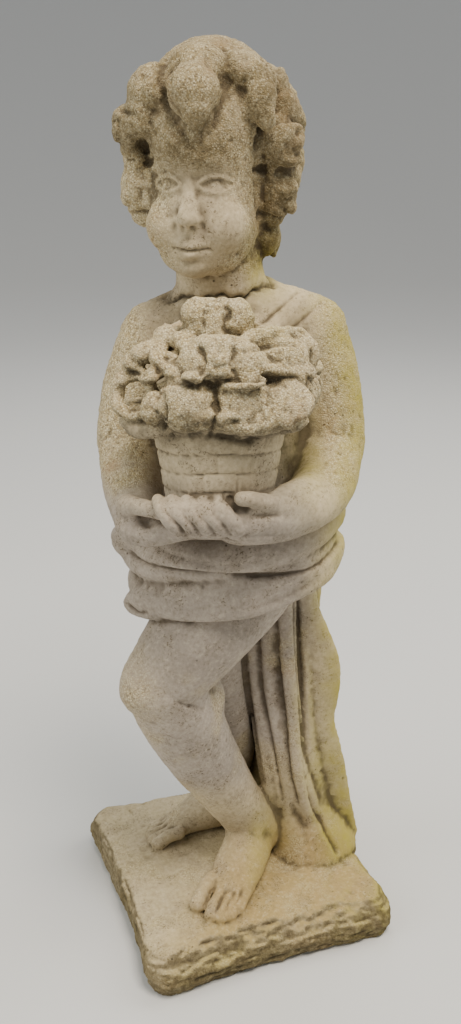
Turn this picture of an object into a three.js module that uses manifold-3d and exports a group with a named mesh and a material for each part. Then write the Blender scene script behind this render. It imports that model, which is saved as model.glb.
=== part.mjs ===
// Garden statue of a cherub who stands on a low square plinth and hugs a basket of flowers.
// Figure, basket, drapery and plinth are one casting, so they are joined into one solid.
// Millimetres, +Z up. The origin is the middle of the plinth's underside.
import * as THREE from 'three';
import Module from 'manifold-3d';
import { mergeVertices } from 'three/addons/utils/BufferGeometryUtils.js';

const wasm = await Module();
wasm.setup();

// ---- named sizes ------------------------------------------------------------------------------
const PLINTH_HALF = 130;
const PLINTH_HIGH = 40;
const PLINTH_CORNER = 28;
const PLINTH_HOLLOW = 7;
const PLINTH_WORN = 8;
const FIGURE_TURN = -20.75;
const HEAD_CENTRE = [-20, -4, 735];
const HEAD_TURN = -15;
const HEAD_BOW = 4;
const NECK_R = 38;
const UPPER_ARM_R = 30;
const FOREARM_R = 26;
const WRIST_R = 19;
const THIGH_R = 46;
const KNEE_R = 36;
const CALF_R = 36;
const ANKLE_R = 24;
const FINGER_R = 8;
const BASKET_LOW = [-12, -108, 462];
const BASKET_FOOT_R = 40;
const BASKET_RIM_R = 53;
const BASKET_LIP_R = 75;
const BASKET_HIGH = 74;
const BASKET_LEAN = 10;
const BASKET_BANDS = 5;
const HIP_ROUND = 44;
const SOLE = PLINTH_HIGH - 2;
const MOST_FACES = 9500;

const rad = THREE.MathUtils.degToRad;

// ---- shape helpers ----------------------------------------------------------------------------

// Skins equal rings of points, counter-clockwise seen from the last ring, and closes both ends.
function skin(rings, first, last) {
  const n = rings[0].length;
  const points = [first, ...rings.flat(), last];
  const index = [];
  const at = (i, j) => 1 + i * n + (j % n);
  for (let j = 0; j < n; j += 1) {
    index.push(0, at(0, j + 1), at(0, j));
    for (let i = 0; i + 1 < rings.length; i += 1) {
      index.push(at(i, j), at(i, j + 1), at(i + 1, j + 1));
      index.push(at(i, j), at(i + 1, j + 1), at(i + 1, j));
    }
    index.push(points.length - 1, at(rings.length - 1, j), at(rings.length - 1, j + 1));
  }
  const geometry = new THREE.BufferGeometry().setFromPoints(points);
  geometry.setIndex(index);
  return geometry;
}

// Rounded limb through stations [x, y, z, half width, half depth]; side is the width direction.
function limb(stations, sides, rounds, side = [1, 0, 0]) {
  const path = new THREE.CatmullRomCurve3(stations.map((s) => new THREE.Vector3(s[0], s[1], s[2])));
  const size = new THREE.CatmullRomCurve3(
    stations.map((s) => new THREE.Vector3(s[3], s[4] ?? s[3], 0)),
    false,
    'catmullrom',
    0.5,
  );
  const across = new THREE.Vector3(...side);
  const frames = [];
  for (let i = 0; i < rounds; i += 1) {
    const t = i / (rounds - 1);
    const along = path.getPoint(Math.min(1, t + 0.01)).sub(path.getPoint(Math.max(0, t - 0.01)));
    along.normalize();
    const u = across.clone().addScaledVector(along, -across.dot(along)).normalize();
    frames.push({ at: path.getPoint(t), along, u, v: along.clone().cross(u), r: size.getPoint(t) });
  }
  const ring = (f, shrink, slide) =>
    Array.from({ length: sides }, (_, j) => {
      const a = (j / sides) * 2 * Math.PI;
      return f.at
        .clone()
        .addScaledVector(f.u, f.r.x * shrink * Math.cos(a))
        .addScaledVector(f.v, f.r.y * shrink * Math.sin(a))
        .addScaledVector(f.along, slide * Math.min(f.r.x, f.r.y));
    });
  const start = frames[0];
  const end = frames[frames.length - 1];
  const rings = [ring(start, 0.72, -0.68), ...frames.map((f) => ring(f, 1, 0)), ring(end, 0.72, 0.68)];
  const tip = (f, way) => f.at.clone().addScaledVector(f.along, way * Math.min(f.r.x, f.r.y));
  return skin(rings, tip(start, -1), tip(end, 1));
}

// Ellipsoid with its poles up, tipped by three angles in degrees about X, Y and Z in turn.
function blob(centre, radii, tip = [0, 0, 0], around = 10, rows = 7) {
  const geometry = new THREE.SphereGeometry(1, around, rows);
  geometry.rotateX(Math.PI / 2);
  geometry.scale(...radii);
  geometry.rotateX(rad(tip[0]));
  geometry.rotateY(rad(tip[1]));
  geometry.rotateZ(rad(tip[2]));
  geometry.translate(...centre);
  return geometry;
}

// Lock of hair: a lump with a tapering roll that winds in round its outward direction.
function lock(centre, radius, hand, start) {
  const out = new THREE.Vector3(...centre).sub(new THREE.Vector3(...HEAD_CENTRE)).normalize();
  const u = new THREE.Vector3(0, 0, 1).addScaledVector(out, -out.z);
  if (u.length() < 0.3) {
    u.set(1, 0, 0).addScaledVector(out, -out.x);
  }
  u.normalize();
  const v = out.clone().cross(u);
  const stations = [];
  const turns = 1.2;
  for (let i = 0; i <= 8; i += 1) {
    const t = i / 8;
    const a = rad(start) + hand * turns * 2 * Math.PI * t;
    const reach = radius * (0.72 - 0.5 * t);
    const p = new THREE.Vector3(...centre)
      .addScaledVector(u, reach * Math.cos(a))
      .addScaledVector(v, reach * Math.sin(a))
      .addScaledVector(out, radius * (0.34 + 0.3 * t));
    stations.push([p.x, p.y, p.z, radius * (0.33 - 0.1 * t)]);
  }
  return limb(stations, 6, 10, out.toArray());
}

// Outward-facing flower: a heart and a ring of cupped petals, facing the direction given.
function bloom(centre, radius, facing, petals, turn) {
  const parts = [blob([0, 0, radius * 0.2], [radius * 0.5, radius * 0.5, radius * 0.42], [0, 0, 0], 7, 5)];
  for (let i = 0; i < petals; i += 1) {
    const size = [radius * 0.5, radius * 0.44, radius * 0.24];
    const petal = blob([radius * 0.58, 0, 0], size, [0, -24, 0], 7, 5);
    petal.rotateZ(rad(turn) + (i / petals) * 2 * Math.PI);
    parts.push(petal);
  }
  const aim = new THREE.Quaternion().setFromUnitVectors(
    new THREE.Vector3(0, 0, 1),
    new THREE.Vector3(...facing).normalize(),
  );
  for (const part of parts) {
    part.applyQuaternion(aim);
    part.translate(...centre);
  }
  return parts;
}

function solid(geometry) {
  geometry.deleteAttribute('normal');
  geometry.deleteAttribute('uv');
  const clean = mergeVertices(geometry, 1e-4);
  const mesh = new wasm.Mesh({
    numProp: 3,
    vertProperties: new Float32Array(clean.attributes.position.array),
    triVerts: new Uint32Array(clean.index.array),
  });
  return new wasm.Manifold(mesh);
}

function join(geometries) {
  return geometries.map(solid).reduce((a, b) => a.add(b));
}

// Leaves out the closed pockets that lie inside the largest skin.
function outerSkin(corners, faces) {
  const root = Array.from({ length: corners.length / 3 }, (_, i) => i);
  const find = (i) => {
    while (root[i] !== i) {
      root[i] = root[root[i]];
      i = root[i];
    }
    return i;
  };
  for (const [a, b, c] of faces) {
    root[find(a)] = find(b);
    root[find(b)] = find(c);
  }
  const count = new Map();
  for (const [a] of faces) {
    count.set(find(a), (count.get(find(a)) ?? 0) + 1);
  }
  const [largest] = [...count].sort((p, q) => q[1] - p[1])[0];
  return faces.filter(([a]) => find(a) === largest);
}

// Merges the edges that matter least to the form until no more than the given number of faces is left.
function thin(corners, faces, most) {
  const point = (i) => new THREE.Vector3(corners[3 * i], corners[3 * i + 1], corners[3 * i + 2]);
  const at = Array.from({ length: corners.length / 3 }, (_, i) => point(i));
  const round = at.map(() => new Set());
  const error = at.map(() => new Float64Array(10));
  const normalOf = (p, q, r) => q.clone().sub(p).cross(r.clone().sub(p));
  faces.forEach((face, f) => {
    const n = normalOf(...face.map((i) => at[i]));
    const area = n.length() || 1e-9;
    n.divideScalar(area);
    const d = -n.dot(at[face[0]]);
    const k = [n.x, n.y, n.z, d];
    for (const i of face) {
      round[i].add(f);
      let m = 0;
      for (let r = 0; r < 4; r += 1) {
        for (let c = r; c < 4; c += 1) {
          error[i][m] += area * k[r] * k[c];
          m += 1;
        }
      }
    }
  });
  const cost = (e, p) =>
    e[0] * p.x * p.x +
    2 * e[1] * p.x * p.y +
    2 * e[2] * p.x * p.z +
    2 * e[3] * p.x +
    e[4] * p.y * p.y +
    2 * e[5] * p.y * p.z +
    2 * e[6] * p.y +
    e[7] * p.z * p.z +
    2 * e[8] * p.z +
    e[9];
  const alive = faces.map(() => true);
  let left = faces.length;
  const near = (i) => {
    const found = new Set();
    for (const f of round[i]) {
      faces[f].forEach((j) => found.add(j));
    }
    found.delete(i);
    return found;
  };
  const turnsOver = (i, j, p) => {
    for (const f of round[i]) {
      if (faces[f].includes(j)) {
        continue;
      }
      const before = normalOf(...faces[f].map((v) => at[v]));
      const after = normalOf(...faces[f].map((v) => (v === i ? p : at[v])));
      if (after.length() < 1e-4 || after.dot(before) < 0.35 * after.length() * before.length()) {
        return true;
      }
    }
    return false;
  };
  for (let pass = 0; pass < 200 && left > most; pass += 1) {
    const edges = [];
    faces.forEach((face, f) => {
      if (!alive[f]) {
        return;
      }
      for (let s = 0; s < 3; s += 1) {
        const i = face[s];
        const j = face[(s + 1) % 3];
        if (i > j) {
          continue;
        }
        const both = error[i].map((v, m) => v + error[j][m]);
        const spots = [at[i].clone().add(at[j]).multiplyScalar(0.5), at[i], at[j]];
        const costs = spots.map((p) => cost(both, p) + 0.02 * at[i].distanceToSquared(at[j]));
        const best = costs.indexOf(Math.min(...costs));
        edges.push([costs[best], i, j, spots[best].clone(), both]);
      }
    });
    edges.sort((p, q) => p[0] - q[0]);
    const busy = new Set();
    for (const [, i, j, p, both] of edges.slice(0, Math.ceil(edges.length * 0.25))) {
      if (left <= most || busy.has(i) || busy.has(j)) {
        continue;
      }
      const nearI = near(i);
      const nearJ = near(j);
      const shared = [...nearI].filter((v) => nearJ.has(v));
      if (shared.length !== 2 || turnsOver(i, j, p) || turnsOver(j, i, p)) {
        continue;
      }
      for (const f of [...round[j]]) {
        if (faces[f].includes(i)) {
          alive[f] = false;
          left -= 1;
          faces[f].forEach((v) => round[v].delete(f));
        } else {
          faces[f] = faces[f].map((v) => (v === j ? i : v));
          round[i].add(f);
        }
      }
      at[i] = p;
      error[i] = both;
      [i, j, ...nearI, ...nearJ].forEach((v) => busy.add(v));
    }
  }
  const geometry = new THREE.BufferGeometry().setFromPoints(at);
  geometry.setIndex(faces.filter((_, f) => alive[f]).flat());
  return geometry;
}

// ---- plinth: a square slab with hollowed sides, round corners and a worn top edge ---------------
function plinth() {
  const outline = (inset) => {
    const h = PLINTH_HALF - inset;
    const c = PLINTH_CORNER - inset * 0.6;
    const points = [];
    for (let side = 0; side < 4; side += 1) {
      const turn = (side * Math.PI) / 2;
      for (let i = 0; i < 7; i += 1) {
        const s = -1 + (2 * i) / 7;
        const x = h - PLINTH_HOLLOW * (1 - s * s);
        points.push(new THREE.Vector2(x, s * (h - c)).rotateAround(new THREE.Vector2(), turn));
      }
      for (let i = 0; i < 5; i += 1) {
        const a = (i / 5) * (Math.PI / 2);
        const p = new THREE.Vector2(h - c + c * Math.cos(a), h - c + c * Math.sin(a));
        points.push(p.rotateAround(new THREE.Vector2(), turn));
      }
    }
    return points;
  };
  const level = (inset, z) => outline(inset).map((p) => new THREE.Vector3(p.x, p.y, z));
  const rings = [
    level(7, 0),
    level(3.5, 4),
    level(0, PLINTH_HIGH * 0.5),
    level(1, PLINTH_HIGH - PLINTH_WORN * 1.2),
    level(PLINTH_WORN * 0.35, PLINTH_HIGH - PLINTH_WORN * 0.5),
    level(PLINTH_WORN, PLINTH_HIGH - PLINTH_WORN * 0.1),
    level(PLINTH_WORN * 2, PLINTH_HIGH),
  ];
  return skin(rings, new THREE.Vector3(0, 0, 0), new THREE.Vector3(0, 0, PLINTH_HIGH));
}

// ---- trunk, shoulders and neck ------------------------------------------------------------------
function trunk() {
  const body = limb(
    [
      [-2, -12, 372, 60, 50],
      [-3, -14, 412, 76, 62],
      [-5, -18, 456, 70, 60],
      [-6, -15, 500, 66, 55],
      [-5, -8, 545, 68, 50],
      [-4, -2, 585, 70, 45],
      [-4, 2, 612, 58, 34],
    ],
    22,
    12,
  );
  const shoulders = limb(
    [
      [-70, 2, 592, 27, 27],
      [-40, 2, 601, 29, 30],
      [-4, 2, 607, 30, 29],
      [34, 2, 605, 29, 30],
      [70, 2, 597, 27, 27],
    ],
    14,
    9,
    [0, 1, 0],
  );
  return [
    body,
    shoulders,
    blob([-36, -32, 568], [32, 20, 28], [0, 0, -8], 12, 8),
    blob([30, -32, 572], [32, 20, 28], [0, 0, 8], 12, 8),
    blob([-6, -44, 478], [54, 38, 44], [0, 0, 0], 14, 9),
    limb(
      [
        [-10, 4, 598, NECK_R + 6, NECK_R],
        [-12, 0, 634, NECK_R, NECK_R],
        [-16, -4, 668, NECK_R - 2, NECK_R - 2],
      ],
      18,
      5,
    ),
  ];
}

// ---- arms and hands: each passes under the basket from its own side -----------------------------
function arms() {
  const parts = [
    limb(
      [
        [-68, 2, 589, UPPER_ARM_R],
        [-84, 0, 546, UPPER_ARM_R],
        [-92, -10, 500, UPPER_ARM_R - 1],
      ],
      14,
      7,
    ),
    limb(
      [
        [-91, -8, 496, UPPER_ARM_R - 1],
        [-86, -54, 474, FOREARM_R],
        [-80, -102, 464, WRIST_R],
      ],
      14,
      7,
    ),
    limb(
      [
        [66, 2, 593, UPPER_ARM_R],
        [79, 0, 550, UPPER_ARM_R],
        [86, -10, 500, UPPER_ARM_R - 1],
      ],
      14,
      7,
    ),
    limb(
      [
        [86, -8, 498, UPPER_ARM_R - 1],
        [76, -56, 474, FOREARM_R + 1],
        [56, -104, 472, WRIST_R + 3],
      ],
      14,
      7,
    ),
    limb(
      [
        [64, -92, 473, 18, 24],
        [44, -116, 473, 16, 24],
        [22, -136, 473, 12, 20],
        [0, -146, 474, 9, 13],
      ],
      12,
      6,
      [0.6, 0.8, 0],
    ),
    blob([14, -130, 460], [26, 14, 9], [0, -4, 0], 12, 6),
    limb(
      [
        [-80, -98, 464, 20],
        [-80, -114, 459, 15],
        [-62, -130, 460, 11],
        [-38, -143, 467, 7.5],
        [-14, -149, 469, 6],
      ],
      10,
      8,
    ),
    limb(
      [
        [-86, -112, 476, 10],
        [-78, -126, 481, 7.5],
        [-66, -137, 483, 7],
        [-55, -142, 482, 6.5],
      ],
      8,
      5,
      [0, 0, 1],
    ),
    limb(
      [
        [28, -138, 487, FINGER_R],
        [16, -147, 494, FINGER_R - 1],
        [5, -151, 497, FINGER_R - 2],
      ],
      8,
      5,
    ),
    blob([-20, -118, 466], [56, 26, 13], [0, 0, 0], 14, 7),
  ];
  for (const x of [-55, -43.5, -32, -20.5, -9]) {
    parts.push(
      limb(
        [
          [x - 4, -145, 494, FINGER_R - 3],
          [x, -153, 489, FINGER_R - 2],
          [x + 7, -156, 480, FINGER_R - 2],
          [x + 12, -153, 471, FINGER_R - 3],
        ],
        7,
        4,
      ),
    );
  }
  return parts;
}

// ---- legs: the right leg carries the weight, the left crosses in front with its knee bent --------
function foot(heel, toe, wide, tips) {
  const at = (t, z) => [heel[0] + (toe[0] - heel[0]) * t, heel[1] + (toe[1] - heel[1]) * t, z];
  const across = new THREE.Vector3(heel[1] - toe[1], toe[0] - heel[0], 0).normalize().toArray();
  const parts = [
    limb(
      [
        [...at(0.04, SOLE + 20), 20, 20],
        [...at(0.3, SOLE + 23), 25, 24],
        [...at(0.56, SOLE + 16), wide, 17],
        [...at(0.74, SOLE + 11), wide * 0.88, 12],
      ],
      14,
      8,
      across,
    ),
  ];
  // Each toe runs from its knuckle to its tip, big toe first.
  for (const [x0, y0, x1, y1, r] of tips) {
    parts.push(
      limb(
        [
          [x0, y0, SOLE + r * 1.9, r * 0.9],
          [0.45 * x0 + 0.55 * x1, 0.45 * y0 + 0.55 * y1, SOLE + r * 1.75, r * 0.86],
          [x1, y1, SOLE + r, r],
        ],
        7,
        3,
        across,
      ),
    );
  }
  return parts;
}

function legs() {
  return [
    limb(
      [
        [42, 2, 408, THIGH_R],
        [4, -34, 368, THIGH_R + 1],
        [-38, -62, 326, THIGH_R - 3],
        [-66, -76, 292, KNEE_R],
      ],
      18,
      9,
    ),
    blob([-76, -84, 292], [27, 26, 30], [0, 0, 0], 12, 8),
    limb(
      [
        [-66, -74, 292, KNEE_R],
        [-49, -56, 242, CALF_R + 2],
        [-29, -34, 184, CALF_R - 2],
        [-2, -9, 120, ANKLE_R + 4],
        [16, 4, 84, ANKLE_R + 3],
        [24, 10, 66, ANKLE_R + 3],
      ],
      18,
      11,
    ),
    ...foot([27, 20], [-17, -100], 28, [
      [-22, -56, -36, -82, 8.6],
      [-9, -66, -21, -95, 6.6],
      [0, -68, -13, -98, 6.4],
      [9, -66, -4, -95, 6],
      [17, -61, 5, -86, 5.6],
    ]),
    limb(
      [
        [-44, 0, 396, THIGH_R],
        [-32, 10, 306, THIGH_R - 4],
        [-16, 28, 220, KNEE_R],
        [-10, 50, 150, CALF_R - 2],
        [-8, 62, 92, ANKLE_R],
        [-6, 64, 66, ANKLE_R],
      ],
      16,
      12,
    ),
    ...foot([4, 66], [-90, 22], 22, [
      [-58, 16, -80, 8, 8],
      [-66, 26, -87, 17, 5.8],
      [-68, 34, -90, 26, 5.4],
      [-68, 42, -90, 34, 5.2],
      [-66, 49, -86, 42, 5],
    ]),
  ];
}

// ---- drapery: a twisted band round the hips and a fall of cloth down to the plinth ---------------
function hips() {
  // [share of the height, share of the full size]: hem, lower band, groove, upper roll, top.
  const profile = [
    [0, 0.86],
    [0.0, 0.95],
    [0.05, 1],
    [0.2, 1],
    [0.36, 0.97],
    [0.45, 0.925],
    [0.5, 0.93],
    [0.58, 1],
    [0.72, 1.03],
    [0.86, 0.99],
    [0.97, 0.88],
    [1, 0.74],
  ];
  const ring = (up, size) =>
    Array.from({ length: HIP_ROUND }, (_, j) => {
      const a = (j / HIP_ROUND) * 2 * Math.PI;
      const swag = 0.02 * Math.sin(3 * a + 6 * up + 1) + 0.012 * Math.sin(8 * a + 4 * up);
      const grow = size * (1 + swag);
      const x = 98 * Math.cos(a) * grow;
      const y = 88 * Math.sin(a) * grow;
      const sag = 8 * Math.max(0, -Math.sin(a)) * (1 - up);
      const tilt = 0.14 * x - (up > 0.3 ? 0.0009 * x * x : 0);
      return new THREE.Vector3(x, y - 18, 376 + tilt - sag + up * (71 + 0.1 * x));
    });
  const rings = profile.map(([up, size]) => ring(up, size));
  return [
    skin(rings, new THREE.Vector3(0, -18, 380), new THREE.Vector3(0, -14, 447)),
    limb(
      [
        [-92, -40, 410, 14, 20],
        [-103, -26, 406, 12, 18],
        [-107, -8, 404, 10, 15],
      ],
      9,
      4,
      [0, 1, 0],
    ),
    limb(
      [
        [-70, -80, 388, 10, 12],
        [-88, -62, 376, 11, 13],
        [-99, -46, 362, 11, 9],
        [-100, -40, 352, 9, 7],
      ],
      9,
      5,
      [0.5, 0.8, 0],
    ),
  ];
}

function fall() {
  const fold = (stations, sides = 10, rounds = 8) => limb(stations, sides, rounds);
  return [
    // the body of the fall, spreading to a fan on the plinth
    fold(
      [
        [50, 42, 396, 36, 34],
        [47, 46, 310, 27, 24],
        [50, 44, 220, 26, 22],
        [56, 36, 150, 28, 24],
        [66, 28, 96, 35, 31],
        [73, 25, 66, 42, 38],
        [77, 24, 50, 46, 42],
      ],
      18,
      12,
    ),
    // three tube folds in front
    fold([
      [15, 6, 340, 7],
      [18, 8, 270, 7],
      [26, 9, 200, 7],
      [34, 8, 140, 8],
      [42, 10, 96, 10],
      [50, 16, 64, 10],
    ]),
    fold([
      [31, -4, 350, 8],
      [33, 0, 260, 7.5],
      [41, 1, 190, 7.5],
      [48, 4, 140, 9],
      [58, 6, 96, 11],
      [66, 10, 62, 10],
    ]),
    fold([
      [47, -12, 366, 12],
      [52, -6, 280, 10],
      [59, -4, 210, 10],
      [64, -2, 150, 11],
      [74, 4, 100, 13],
      [84, 10, 62, 11],
    ]),
    // the broad outer fold with its wavy edge and loose tip, and the cloth behind it
    fold(
      [
        [64, 6, 384, 12, 16],
        [67, 12, 330, 13, 11],
        [77, 14, 292, 17, 8],
        [86, 15, 258, 20, 7.5],
        [86, 16, 222, 19.5, 7.5],
        [84, 17, 195, 18.5, 7.5],
        [91, 19, 158, 20, 7.5],
        [98, 22, 124, 20, 7.5],
        [108, 25, 86, 17, 7.5],
        [119, 29, 56, 13, 6],
        [127, 32, 44, 8, 5],
      ],
      12,
      16,
    ),
    fold([
      [66, 34, 340, 14, 18],
      [78, 38, 250, 12, 20],
      [78, 38, 195, 12, 20],
      [88, 40, 120, 12, 18],
      [104, 40, 60, 10, 14],
    ]),
    // three folds at the back
    fold([
      [20, 52, 380, 18],
      [24, 66, 280, 13],
      [26, 68, 180, 14],
      [36, 62, 60, 16],
    ]),
    fold([
      [48, 60, 386, 18],
      [50, 76, 280, 12],
      [53, 74, 180, 13],
      [64, 66, 60, 16],
    ]),
    fold([
      [74, 44, 386, 18],
      [74, 60, 290, 13],
      [78, 60, 180, 13],
      [92, 54, 60, 14],
    ]),
  ];
}

// ---- basket of flowers ---------------------------------------------------------------------------
function basket() {
  const profile = [new THREE.Vector2(0, 0)];
  for (let i = 0; i < BASKET_BANDS; i += 1) {
    const low = i / BASKET_BANDS;
    const high = (i + 1) / BASKET_BANDS;
    const r = (t) => BASKET_FOOT_R + (BASKET_RIM_R - BASKET_FOOT_R) * t;
    profile.push(new THREE.Vector2(r(low), low * BASKET_HIGH));
    profile.push(new THREE.Vector2(r(low) + 2.2, (low + 0.03) * BASKET_HIGH));
    profile.push(new THREE.Vector2(r(high) + 1.6, (high - 0.03) * BASKET_HIGH));
  }
  profile.push(new THREE.Vector2(BASKET_RIM_R + 6, BASKET_HIGH + 2));
  profile.push(new THREE.Vector2(BASKET_LIP_R - 3, BASKET_HIGH + 12));
  profile.push(new THREE.Vector2(BASKET_LIP_R, BASKET_HIGH + 17));
  profile.push(new THREE.Vector2(BASKET_LIP_R - 4, BASKET_HIGH + 22));
  profile.push(new THREE.Vector2(0, BASKET_HIGH + 32));
  const geometry = new THREE.LatheGeometry(profile, 30);
  geometry.rotateX(Math.PI / 2);
  geometry.rotateX(rad(-BASKET_LEAN));
  geometry.translate(...BASKET_LOW);
  return geometry;
}

function flowers() {
  return [
    blob([-16, -90, 556], [58, 56, 22], [-8, 0, 0], 18, 8),
    blob([-12, -84, 582], [42, 40, 28], [0, 0, 0], 14, 8),
    // rosebud on top
    blob([-14, -110, 618], [17, 15, 18], [0, 0, 0], 10, 6),
    blob([-30, -112, 630], [10, 11, 13], [0, -14, 0], 10, 6),
    blob([-19, -124, 632], [11, 9, 13], [10, -6, 0], 10, 6),
    blob([-2, -123, 634], [11, 9, 13], [10, 8, 0], 10, 6),
    blob([6, -110, 630], [9, 11, 14], [0, 14, 0], 10, 6),
    blob([-12, -98, 632], [14, 9, 10], [0, 0, 0], 10, 6),
    // rose in the middle and its turned lip
    blob([-13, -138, 604], [19, 16, 19], [0, 0, 0], 10, 6),
    blob([-31, -142, 603], [14, 12, 19], [0, -14, 20], 10, 6),
    blob([5, -144, 604], [13, 10, 15], [0, 16, -20], 10, 6),
    blob([-13, -142, 618], [19, 11, 7], [-20, 0, 0], 10, 6),
    blob([-18, -153, 598], [12, 8, 13], [0, 10, 10], 10, 6),
    limb(
      [
        [-14, -160, 586, 4],
        [4, -163, 585, 5],
        [20, -158, 590, 4.6],
        [30, -146, 597, 4],
      ],
      7,
      6,
    ),
    // lily to the right
    limb(
      [
        [6, -138, 602, 12, 11],
        [24, -134, 608, 15, 9],
        [42, -124, 611, 14, 7],
        [54, -114, 611, 8, 5],
      ],
      10,
      6,
      [0, 0.3, 1],
    ),
    limb(
      [
        [10, -142, 592, 10, 8],
        [28, -140, 595, 11, 7],
        [44, -128, 590, 8, 5],
      ],
      8,
      5,
      [0, 0.3, 1],
    ),
    blob([22, -112, 612], [20, 18, 12], [0, 12, 0], 10, 6),
    // petals and small buds to the left
    blob([-50, -108, 611], [13, 12, 10], [0, 0, 0], 10, 6),
    blob([-36, -122, 610], [12, 12, 9], [0, 20, 0], 10, 6),
    blob([-64, -118, 603], [16, 11, 8], [0, -12, 14], 10, 6),
    blob([-76, -118, 594], [9, 9, 8], [0, 0, 0], 10, 6),
    blob([-52, -134, 600], [13, 10, 7], [0, 16, 0], 10, 6),
    blob([-60, -138, 590], [11, 9, 6], [0, -20, 0], 10, 6),
    blob([-44, -146, 594], [11, 9, 6], [0, 24, 0], 10, 6),
    // fruit, broad leaf, open cup, knob and curved petals
    blob([-35, -150, 571], [21, 18, 22], [0, 0, 0], 14, 9),
    blob([-61, -143, 566], [9.5, 9, 14], [0, 8, 0], 10, 6),
    blob([-30, -162, 594], [9, 7, 5], [0, 0, 0], 8, 5),
    blob([18, -140, 574], [40, 22, 13], [-26, -4, -10], 14, 8),
    blob([16, -136, 558], [44, 27, 12], [-6, -4, -10], 14, 8),
    blob([-80, -118, 570], [17, 13, 19], [0, -10, 0], 12, 8),
    blob([60, -98, 586], [9, 9, 8], [0, 0, 0], 8, 5),
    blob([48, -98, 592], [15, 14, 10], [0, 0, 0], 10, 6),
    blob([50, -118, 574], [16, 22, 21], [0, 14, 0], 12, 8),
    limb(
      [
        [-86, -118, 550, 4],
        [-76, -130, 545, 6],
        [-62, -138, 547, 6.5],
        [-50, -142, 550, 5],
      ],
      7,
      6,
    ),
    // plain blooms at the back
    blob([-48, -70, 590], [20, 18, 14], [0, 0, 0], 10, 6),
    blob([-14, -56, 592], [22, 18, 14], [0, 0, 0], 10, 6),
    blob([24, -66, 590], [20, 18, 14], [0, 0, 0], 10, 6),
    blob([-14, -84, 610], [20, 18, 12], [0, 0, 0], 10, 6),
    ...bloom([-50, -64, 600], 20, [-0.4, 0.5, 0.8], 5, 20),
    ...bloom([22, -62, 600], 20, [0.4, 0.5, 0.8], 5, 20),
    ...bloom([-16, -48, 590], 20, [0, 0.8, 0.5], 5, 20),
    ...bloom([56, -72, 578], 18, [0.9, 0.2, 0.4], 5, 20),
    ...bloom([-80, -82, 578], 18, [-0.9, 0.1, 0.4], 5, 20),
  ];
}

// ---- head: a calm child's face of ordinary proportions under a mass of big curls ------------------
function face() {
  // [height, half width, front, back] from under the chin to the crown, from the head's middle.
  const levels = [
    [-85, 20, -48, -6],
    [-78, 32, -59, 10],
    [-64, 40, -64, 28],
    [-48, 44, -65, 42],
    [-30, 45, -63, 52],
    [-10, 46, -60, 60],
    [4, 48, -64, 64],
    [30, 51, -67, 66],
    [52, 48, -58, 60],
    [70, 36, -40, 46],
  ];
  const sides = 22;
  const rings = levels.map(([z, w, front, back]) =>
    Array.from({ length: sides }, (_, j) => {
      const a = (j / sides) * 2 * Math.PI;
      const mid = 0.5 * (front + back) + 4;
      const s = Math.sin(a);
      const y = s < 0 ? mid + (mid - front) * s : mid + (back - mid) * s;
      return new THREE.Vector3(w * Math.cos(a), y, z);
    }),
  );
  const parts = [
    skin(rings, new THREE.Vector3(0, -30, -88), new THREE.Vector3(0, 0, 80)),
    limb(
      [
        [0, -58, -6, 6, 6],
        [0, -63, -24, 6, 7],
        [0, -66, -37, 9, 8],
      ],
      9,
      5,
    ),
    blob([0, -62, -57], [17, 8, 3.4], [0, 0, 0], 10, 5),
    blob([0, -61, -63.5], [14, 8, 3.6], [0, 0, 0], 10, 5),
    blob([0, -56, -76], [18, 14, 11], [0, 0, 0], 12, 7),
    blob([-19, -40, -46], [24, 23, 24], [0, 0, 0], 12, 8),
    blob([19, -40, -46], [24, 23, 24], [0, 0, 0], 12, 8),
    blob([-22, -54, -14], [11, 8, 6.5], [0, 0, 0], 10, 6),
    blob([22, -54, -14], [11, 8, 6.5], [0, 0, 0], 10, 6),
  ];
  for (const part of parts) {
    part.rotateX(rad(HEAD_BOW));
    part.rotateZ(rad(HEAD_TURN));
    part.translate(...HEAD_CENTRE);
  }
  return parts;
}

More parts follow.
